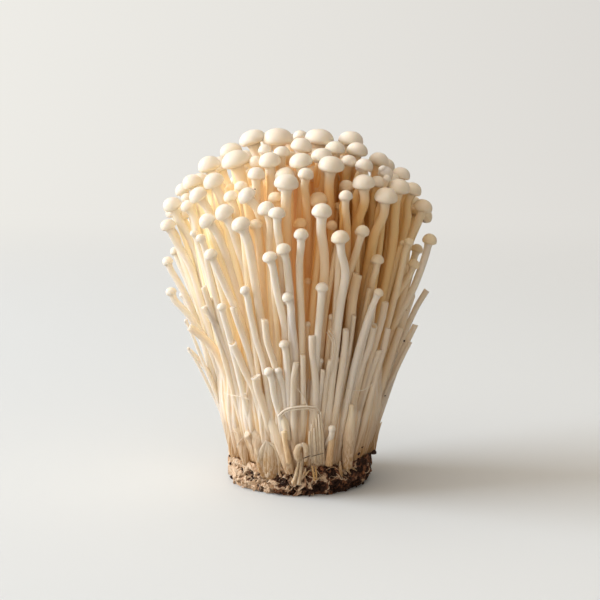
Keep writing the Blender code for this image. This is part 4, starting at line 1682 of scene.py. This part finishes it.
def grain_group() -> bpy.types.NodeTree:
    """The node group that streaks flesh along its fibres and paints light and shade into its colour; made
    once.

    Returns:
        The group. In: the colours Pale, Warm, Deep (painted shade deep in the bunch), Gold (painted light
            in
        the gaps on the left), Stain (browner near the medium: partly staining, partly painted shade),
        Glow Deep and Glow Lit (a painted glow), and how much there is of Streaks, Depth Share and
        Stain Share. Out: Colour, Height for the bump, and Glow (a painted glow).
    """
    name = "flesh_grain"
    if name in bpy.data.node_groups:
        return bpy.data.node_groups[name]
    tree = bpy.data.node_groups.new(name, "ShaderNodeTree")
    group_input(tree, "Pale", "NodeSocketColor", (0.95, 0.9, 0.8))
    group_input(tree, "Warm", "NodeSocketColor", (0.9, 0.78, 0.58))
    group_input(tree, "Deep", "NodeSocketColor", (0.8, 0.5, 0.22))
    group_input(tree, "Gold", "NodeSocketColor", (0.955, 0.79, 0.48))
    group_input(tree, "Streaks", "NodeSocketFloat", 1.0)
    group_input(tree, "Painted Shade Share", "NodeSocketFloat", 1.0)
    tree.interface.new_socket("Colour", in_out="OUTPUT", socket_type="NodeSocketColor")
    tree.interface.new_socket("Height", in_out="OUTPUT", socket_type="NodeSocketFloat")
    group_input(tree, "Stain And Shade", "NodeSocketColor", (0.47, 0.285, 0.13))
    group_input(tree, "Stain And Shade Share", "NodeSocketFloat", 0.55)
    group_input(tree, "Glow Deep", "NodeSocketColor", (0.60, 0.27, 0.03))
    group_input(tree, "Glow Lit", "NodeSocketColor", (0.72, 0.68, 0.50))
    tree.interface.new_socket("Glow", in_out="OUTPUT", socket_type="NodeSocketColor")
    nodes, links = tree.nodes, tree.links
    entry, leave = nodes.new("NodeGroupInput"), nodes.new("NodeGroupOutput")
    fibre, deep, tint = (nodes.new("ShaderNodeAttribute") for _ in range(3))
    fibre.attribute_name, deep.attribute_name, tint.attribute_name = "fibre", "deep", "tint"
    stretch = nodes.new("ShaderNodeVectorMath")
    stretch.operation = "MULTIPLY"
    stretch.inputs[1].default_value = (1.0, 1.0, 0.045)
    streak, blotch = nodes.new("ShaderNodeTexNoise"), nodes.new("ShaderNodeTexNoise")
    streak.inputs["Scale"].default_value = 1.9
    streak.inputs["Detail"].default_value = 3.0
    streak.inputs["Roughness"].default_value = 0.62
    blotch.inputs["Scale"].default_value = 0.16
    blotch.inputs["Detail"].default_value = 2.0
    links.new(fibre.outputs["Vector"], stretch.inputs[0])
    links.new(stretch.outputs["Vector"], streak.inputs["Vector"])
    links.new(fibre.outputs["Vector"], blotch.inputs["Vector"])
    total = nodes.new("ShaderNodeMath")
    total.operation = "MULTIPLY_ADD"
    links.new(tint.outputs["Fac"], total.inputs[0])
    total.inputs[1].default_value = 0.16
    links.new(blotch.outputs["Fac"], total.inputs[2])
    strength = nodes.new("ShaderNodeMath")
    strength.operation = "MULTIPLY"
    centred = nodes.new("ShaderNodeMath")
    centred.operation = "SUBTRACT"
    centred.inputs[1].default_value = 0.5
    links.new(streak.outputs["Fac"], centred.inputs[0])
    links.new(centred.outputs[0], strength.inputs[0])
    links.new(entry.outputs["Streaks"], strength.inputs[1])
    share = nodes.new("ShaderNodeMath")
    share.operation = "ADD"
    share.use_clamp = True
    links.new(total.outputs[0], share.inputs[0])
    links.new(strength.outputs[0], share.inputs[1])
    surface, inside = nodes.new("ShaderNodeMix"), nodes.new("ShaderNodeMix")
    surface.data_type = inside.data_type = "RGBA"
    links.new(share.outputs[0], surface.inputs["Factor"])
    links.new(entry.outputs["Pale"], surface.inputs["A"])
    links.new(entry.outputs["Warm"], surface.inputs["B"])
    # Painted shade: flesh deep in the bunch takes the Deep colour.
    within = nodes.new("ShaderNodeMath")
    within.operation = "MULTIPLY"
    within.use_clamp = True
    links.new(deep.outputs["Fac"], within.inputs[0])
    links.new(entry.outputs["Painted Shade Share"], within.inputs[1])
    links.new(within.outputs[0], inside.inputs["Factor"])
    links.new(surface.outputs["Result"], inside.inputs["A"])
    golden, aside = nodes.new("ShaderNodeMix"), nodes.new("ShaderNodeAttribute")
    golden.data_type = "RGBA"
    aside.attribute_name = "gold"
    links.new(aside.outputs["Fac"], golden.inputs["Factor"])
    links.new(entry.outputs["Deep"], golden.inputs["A"])
    links.new(entry.outputs["Gold"], golden.inputs["B"])
    links.new(golden.outputs["Result"], inside.inputs["B"])
    stained_and_shaded, uneven = nodes.new("ShaderNodeMath"), nodes.new("ShaderNodeMath")
    browned, foot = nodes.new("ShaderNodeMix"), nodes.new("ShaderNodeAttribute")
    foot.attribute_name = "stain_and_shade"
    browned.data_type = "RGBA"
    stained_and_shaded.operation = uneven.operation = "MULTIPLY"
    links.new(foot.outputs["Fac"], stained_and_shaded.inputs[0])
    links.new(entry.outputs["Stain And Shade Share"], stained_and_shaded.inputs[1])
    uneven.use_clamp = True
    patches = nodes.new("ShaderNodeMapRange")
    patches.inputs["From Min"].default_value, patches.inputs["From Max"].default_value = 0.3, 0.65
    patches.inputs["To Min"].default_value, patches.inputs["To Max"].default_value = 0.35, 1.7
    links.new(streak.outputs["Fac"], patches.inputs["Value"])
    links.new(stained_and_shaded.outputs[0], uneven.inputs[0])
    links.new(patches.outputs["Result"], uneven.inputs[1])
    links.new(uneven.outputs[0], browned.inputs["Factor"])
    links.new(inside.outputs["Result"], browned.inputs["A"])
    links.new(entry.outputs["Stain And Shade"], browned.inputs["B"])
    links.new(browned.outputs["Result"], leave.inputs["Colour"])
    links.new(streak.outputs["Fac"], leave.inputs["Height"])
    # Painted glow: emission coloured from Glow Deep to Glow Lit.
    through = nodes.new("ShaderNodeAttribute")
    through.attribute_name = "glow"
    shine, scaled = nodes.new("ShaderNodeMix"), nodes.new("ShaderNodeVectorMath")
    shine.data_type = "RGBA"
    scaled.operation = "SCALE"
    links.new(through.outputs["Fac"], shine.inputs["Factor"])
    links.new(entry.outputs["Glow Deep"], shine.inputs["A"])
    links.new(entry.outputs["Glow Lit"], shine.inputs["B"])
    links.new(shine.outputs["Result"], scaled.inputs[0])
    links.new(through.outputs["Fac"], scaled.inputs["Scale"])
    links.new(scaled.outputs[0], leave.inputs["Glow"])
    return tree


@dataclass(frozen=True)
class Flesh:
    """The finish of mushroom flesh: satin, faintly streaked along its fibres, and translucent.

    Its colour also carries painted shade deep in the bunch, painted gold light in the gaps on the left,
    browning near the medium that is partly painted shade, and a painted glow.
    """

    name: str
    pale: Colour = (0.965, 0.90, 0.80)
    warm: Colour = (0.94, 0.845, 0.70)
    # The colour of the painted shade deep in the bunch.
    deep: Colour = (0.89, 0.53, 0.165)
    streaks: float = 0.65
    painted_shade_share: float = 0.95
    roughness: float = 0.48
    relief: float = 0.00012
    scatter: float = 0.0032
    scatter_share: float = 0.42
    # How strong the painted glow is.
    glow: float = 0.34
    stain_and_shade_share: float = 0.8

    def material(self) -> bpy.types.Material:
        """Makes the material.

        Returns:
            The material.
        """
        made = bpy.data.materials.new(self.name)
        made.use_nodes = True
        nodes, links = made.node_tree.nodes, made.node_tree.links
        shader = nodes["Principled BSDF"]
        grain = nodes.new("ShaderNodeGroup")
        grain.node_tree = grain_group()
        grain.inputs["Pale"].default_value = (*self.pale, 1.0)
        grain.inputs["Warm"].default_value = (*self.warm, 1.0)
        grain.inputs["Deep"].default_value = (*self.deep, 1.0)
        grain.inputs["Streaks"].default_value = self.streaks
        grain.inputs["Painted Shade Share"].default_value = self.painted_shade_share
        grain.inputs["Stain And Shade Share"].default_value = self.stain_and_shade_share
        bump = nodes.new("ShaderNodeBump")
        bump.inputs["Distance"].default_value = self.relief
        bump.inputs["Strength"].default_value = 0.8
        links.new(grain.outputs["Colour"], shader.inputs["Base Color"])
        links.new(grain.outputs["Height"], bump.inputs["Height"])
        links.new(bump.outputs["Normal"], shader.inputs["Normal"])
        links.new(grain.outputs["Glow"], shader.inputs["Emission Color"])
        shader.inputs["Emission Strength"].default_value = self.glow
        shader.inputs["Roughness"].default_value = self.roughness
        shader.inputs["IOR"].default_value = 1.38
        shader.inputs["Subsurface Weight"].default_value = self.scatter_share
        shader.inputs["Subsurface Radius"].default_value = (1.0, 0.82, 0.60)
        shader.inputs["Subsurface Scale"].default_value = self.scatter
        return made


@dataclass(frozen=True)
class Crumb:
    """The finish of growing medium: matt brown crumb, pale where threads have grown over it, and darker in
    the hollows as painted shade.
    """

    name: str
    dark: Colour = (0.042, 0.017, 0.009)
    brown: Colour = (0.46, 0.20, 0.095)
    pale: Colour = (0.87, 0.65, 0.44)
    pale_share: float = 1.0

    def material(self) -> bpy.types.Material:
        """Makes the material.

        Returns:
            The material.
        """
        made = bpy.data.materials.new(self.name)
        made.use_nodes = True
        nodes, links = made.node_tree.nodes, made.node_tree.links
        shader = nodes["Principled BSDF"]
        place, pale, tint = (nodes.new("ShaderNodeAttribute") for _ in range(3))
        place.attribute_name, pale.attribute_name, tint.attribute_name = "fibre", "pale", "tint"
        speck = nodes.new("ShaderNodeTexNoise")
        speck.inputs["Scale"].default_value = 0.75
        speck.inputs["Detail"].default_value = 4.0
        speck.inputs["Roughness"].default_value = 0.7
        links.new(place.outputs["Vector"], speck.inputs["Vector"])
        shade = nodes.new("ShaderNodeMath")
        shade.operation = "MULTIPLY_ADD"
        shade.inputs[1].default_value = 0.3
        links.new(tint.outputs["Fac"], shade.inputs[0])
        links.new(speck.outputs["Fac"], shade.inputs[2])
        # Painted shade: darker where the plug is hollowed.
        below, sunk = nodes.new("ShaderNodeMath"), nodes.new("ShaderNodeMath")
        below.operation, sunk.operation = "MINIMUM", "MULTIPLY_ADD"
        below.inputs[1].default_value, sunk.inputs[1].default_value = 0.0, 0.25
        links.new(pale.outputs["Fac"], below.inputs[0])
        links.new(below.outputs[0], sunk.inputs[0])
        links.new(shade.outputs[0], sunk.inputs[2])
        ramp = nodes.new("ShaderNodeMapRange")
        ramp.inputs["From Min"].default_value = 0.32
        ramp.inputs["From Max"].default_value = 0.78
        links.new(sunk.outputs[0], ramp.inputs["Value"])
        crumb = nodes.new("ShaderNodeMix")
        crumb.data_type = "RGBA"
        crumb.inputs["A"].default_value = (*self.dark, 1.0)
        crumb.inputs["B"].default_value = (*self.brown, 1.0)
        links.new(ramp.outputs["Result"], crumb.inputs["Factor"])
        edge = nodes.new("ShaderNodeMapRange")
        edge.inputs["From Min"].default_value = 0.30
        edge.inputs["From Max"].default_value = 0.95
        ragged = nodes.new("ShaderNodeMath")
        ragged.operation = "MULTIPLY_ADD"
        ragged.inputs[1].default_value = 0.9
        links.new(speck.outputs["Fac"], ragged.inputs[0])
        links.new(pale.outputs["Fac"], ragged.inputs[2])
        moved = nodes.new("ShaderNodeMath")
        moved.operation = "SUBTRACT"
        moved.inputs[1].default_value = 0.45
        links.new(ragged.outputs[0], moved.inputs[0])
        links.new(moved.outputs[0], edge.inputs["Value"])
        cover = nodes.new("ShaderNodeMath")
        cover.operation = "MULTIPLY"
        cover.inputs[1].default_value = self.pale_share
        links.new(edge.outputs["Result"], cover.inputs[0])
        both = nodes.new("ShaderNodeMix")
        both.data_type = "RGBA"
        both.inputs["B"].default_value = (*self.pale, 1.0)
        links.new(cover.outputs[0], both.inputs["Factor"])
        links.new(crumb.outputs["Result"], both.inputs["A"])
        links.new(both.outputs["Result"], shader.inputs["Base Color"])
        bump = nodes.new("ShaderNodeBump")
        bump.inputs["Distance"].default_value = 0.0005
        links.new(speck.outputs["Fac"], bump.inputs["Height"])
        links.new(bump.outputs["Normal"], shader.inputs["Normal"])
        shader.inputs["Roughness"].default_value = 0.82
        return made


@dataclass
class Studio:
    """A plain pale floor, soft light from the left and the camera."""

    view: Viewpoint
    floor_reach: float = 9.0
    sweep_from: float = 1.2
    sweep_radius: float = 0.9
    backdrop_top: float = 3.0
    key_place: Colour = (-2.36, -0.10, 1.14)
    key_size: Pixel = (1.8, 1.15)
    key_power: float = 57.0
    key_colour: Colour = (0.85, 0.925, 1.04)
    floor_colour: Colour = (0.757, 0.814, 0.827)
    floor_bounce: Colour = (0.53, 0.515, 0.485)
    fill: Pixel = (1.46, 0.03)
    fill_from: Colour = (-0.735, 0.08, 0.67)
    fill_curve: float = 2.0
    fill_colour: Colour = (1.0, 0.86, 0.745)
    # The far glow is brighter on the left: painted light falling off from the left.
    backdrop_left: Colour = (0.86, 0.845, 0.80)
    backdrop_right: Colour = (0.72, 0.70, 0.665)

    def build(self) -> None:
        """Sets the floor, the lights, the world and the camera."""
        self.floor()
        self.light("key", self.key_place, self.key_size, self.key_power, self.key_colour)
        world = bpy.data.worlds.new("studio")
        world.use_nodes = True
        nodes, links = world.node_tree.nodes, world.node_tree.links
        way, towards = nodes.new("ShaderNodeTexCoord"), nodes.new("ShaderNodeVectorMath")
        side = nodes.new("ShaderNodeMapRange")
        towards.operation = "DOT_PRODUCT"
        towards.inputs[1].default_value = self.fill_from
        links.new(way.outputs["Generated"], towards.inputs[0])
        share, curve = nodes.new("ShaderNodeMapRange"), nodes.new("ShaderNodeMath")
        share.inputs["From Min"].default_value = -1.0
        curve.operation = "POWER"
        curve.inputs[1].default_value = self.fill_curve
        links.new(towards.outputs["Value"], share.inputs["Value"])
        links.new(share.outputs["Result"], curve.inputs[0])
        links.new(curve.outputs[0], side.inputs["Value"])
        side.inputs["To Max"].default_value, side.inputs["To Min"].default_value = self.fill
        background = nodes["Background"]
        background.inputs["Color"].default_value = (*self.fill_colour, 1.0)
        links.new(side.outputs["Result"], background.inputs["Strength"])
        bpy.context.scene.world = world
        bpy.context.scene.view_settings.view_transform = "Standard"
        data = bpy.data.cameras.new("camera")
        data.lens = self.view.lens
        data.sensor_width = self.view.sensor
        data.clip_start = 0.01
        camera = bpy.data.objects.new("camera", data)
        camera.location = self.view.eye * MM
        camera.rotation_euler = (0.5 * math.pi - self.view.down, 0.0, 0.0)
        bpy.context.scene.collection.objects.link(camera)
        bpy.context.scene.camera = camera

    @staticmethod
    def light(name: str, place: Colour, size: Pixel, power: float, colour: Colour) -> None:
        """Adds a soft light that points at the bunch.

        Args:
            name: Its name.
            place: Where it stands, in metres.
            size: Its width and height, in metres.
            power: Its power in watts.
            colour: Its colour.
        """
        data = bpy.data.lights.new(name, "AREA")
        data.shape = "RECTANGLE"
        data.size, data.size_y = size
        data.energy = power
        data.color = colour
        lamp = bpy.data.objects.new(name, data)
        lamp.location = place
        aim = Vector((0.0, 0.0, 0.07)) - Vector(place)
        lamp.rotation_euler = aim.to_track_quat("-Z", "Y").to_euler()
        bpy.context.scene.collection.objects.link(lamp)

    def floor(self) -> None:
        """Adds the floor, which curves up into a backdrop far behind."""
        reach, bend, curve = self.floor_reach, self.sweep_from, self.sweep_radius
        sweep = [(-reach, 0.0), (bend, 0.0)]
        for angle in np.linspace(0.1, 0.5 * math.pi, 12):
            sweep.append((bend + curve * math.sin(angle), curve - curve * math.cos(angle)))
        sweep.append((bend + curve, self.backdrop_top))
        points = [(side * reach, y, z) for y, z in sweep for side in (-1.0, 1.0)]
        faces = [(2 * i, 2 * i + 1, 2 * i + 3, 2 * i + 2) for i in range(len(sweep) - 1)]
        mesh = bpy.data.meshes.new("floor")
        mesh.from_pydata(points, [], faces)
        mesh.shade_smooth()
        mesh.materials.append(self.paper())
        made = bpy.data.objects.new("floor", mesh)
        bpy.context.scene.collection.objects.link(made)
        made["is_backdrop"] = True

    def paper(self) -> bpy.types.Material:
        """The backdrop's material: matt paper that gives way to a glow far behind the bunch, brighter on
        the left as painted light falling off from the left.

        Returns:
            The material.
        """
        material = bpy.data.materials.new("paper")
        material.use_nodes = True
        nodes, links = material.node_tree.nodes, material.node_tree.links
        shader = nodes["Principled BSDF"]
        place, split = nodes.new("ShaderNodeNewGeometry"), nodes.new("ShaderNodeSeparateXYZ")
        links.new(place.outputs["Position"], split.inputs[0])
        ray, shown = nodes.new("ShaderNodeLightPath"), nodes.new("ShaderNodeMath")
        shown.operation = "MULTIPLY"
        far, side = nodes.new("ShaderNodeMapRange"), nodes.new("ShaderNodeMapRange")
        far.interpolation_type = "SMOOTHSTEP"
        far.inputs["From Min"].default_value, far.inputs["From Max"].default_value = 0.25, 1.3
        side.inputs["From Min"].default_value, side.inputs["From Max"].default_value = -0.55, 0.55
        links.new(split.outputs["Y"], far.inputs["Value"])
        links.new(split.outputs["X"], side.inputs["Value"])
        near, paper, glow = (nodes.new("ShaderNodeMix") for _ in range(3))
        near.data_type = paper.data_type = glow.data_type = "RGBA"
        near.inputs["A"].default_value = (*self.floor_bounce, 1.0)
        near.inputs["B"].default_value = (*self.floor_colour, 1.0)
        links.new(ray.outputs["Is Camera Ray"], near.inputs["Factor"])
        links.new(near.outputs["Result"], paper.inputs["A"])
        paper.inputs["B"].default_value = (0.0, 0.0, 0.0, 1.0)
        glow.inputs["A"].default_value = (*self.backdrop_left, 1.0)
        glow.inputs["B"].default_value = (*self.backdrop_right, 1.0)
        links.new(far.outputs["Result"], shown.inputs[0])
        links.new(ray.outputs["Is Camera Ray"], shown.inputs[1])
        links.new(shown.outputs[0], paper.inputs["Factor"])
        links.new(side.outputs["Result"], glow.inputs["Factor"])
        links.new(paper.outputs["Result"], shader.inputs["Base Color"])
        links.new(glow.outputs["Result"], shader.inputs["Emission Color"])
        links.new(shown.outputs[0], shader.inputs["Emission Strength"])
        shader.inputs["Roughness"].default_value = 1.0
        shader.inputs["Specular IOR Level"].default_value = 0.0
        return material


def attach(pieces: Iterable[bpy.types.Object], slot: str, *nodes: str) -> None:
    """Fixes pieces to the object.

    Args:
        pieces: The pieces.
        slot: Not used.
        nodes: The CAD nodes that they stand for.
    """
    for piece in pieces:
        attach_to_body(piece, "root")
        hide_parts(*nodes)
        LOG.info("%s: %d faces", piece.name, len(piece.data.polygons))


def main() -> None:
    """Dresses the bunch and sets the studio."""
    view = Viewpoint()
    form = Envelope(view=view)
    sprouts = Planting(form).plant()
    LOG.info("%d sprouts", len(sprouts))
    stem_dress = Flesh("stem_flesh")
    foot_dress = Flesh(
        "foot_flesh", pale=(0.945, 0.86, 0.75), warm=(0.86, 0.725, 0.54), streaks=1.0, relief=0.00014
    )
    stub_dress = Flesh(
        "stub_flesh", pale=(0.93, 0.84, 0.69), warm=(0.85, 0.70, 0.48), streaks=0.8, relief=0.00008
    )
    cap_dress = Flesh(
        "cap_flesh",
        pale=(0.965, 0.90, 0.79),
        warm=(0.95, 0.85, 0.69),
        streaks=0.2,
        relief=0.00003,
        roughness=0.4,
    )
    thread_dress = Flesh(
        "thread_flesh", pale=(0.98, 0.92, 0.81), warm=(0.92, 0.82, 0.65), scatter_share=0.0
    )
    pieces = Stems(form, sprouts).build(stem_dress, foot_dress)
    pieces.append(Caps(form, sprouts).build(cap_dress))
    pieces.append(FusedFoot(form).build(foot_dress))
    pieces.append(FootStubs(form).build(stub_dress))
    pieces.append(Threads(form).build(thread_dress))
    attach(pieces, "mushroom_flesh", "mushroom_bunch")
    fibre_dress = Flesh(
        "mycelium", pale=(0.93, 0.80, 0.61), warm=(0.70, 0.50, 0.31), scatter_share=0.0, stain_and_shade_share=0.0
    )
    medium = GrowingMedium(form).build(Crumb("medium"), Crumb("crumbs", pale_share=0.85), fibre_dress)
    attach(medium, "growing_medium", "growing_medium")
    Studio(view).build()
    [[list(map(float, corner)) for corner in box] for box in (cad_box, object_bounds())]


if __name__ == "__main__":
    logging.basicConfig(level=logging.INFO, format="%(message)s")
    main()
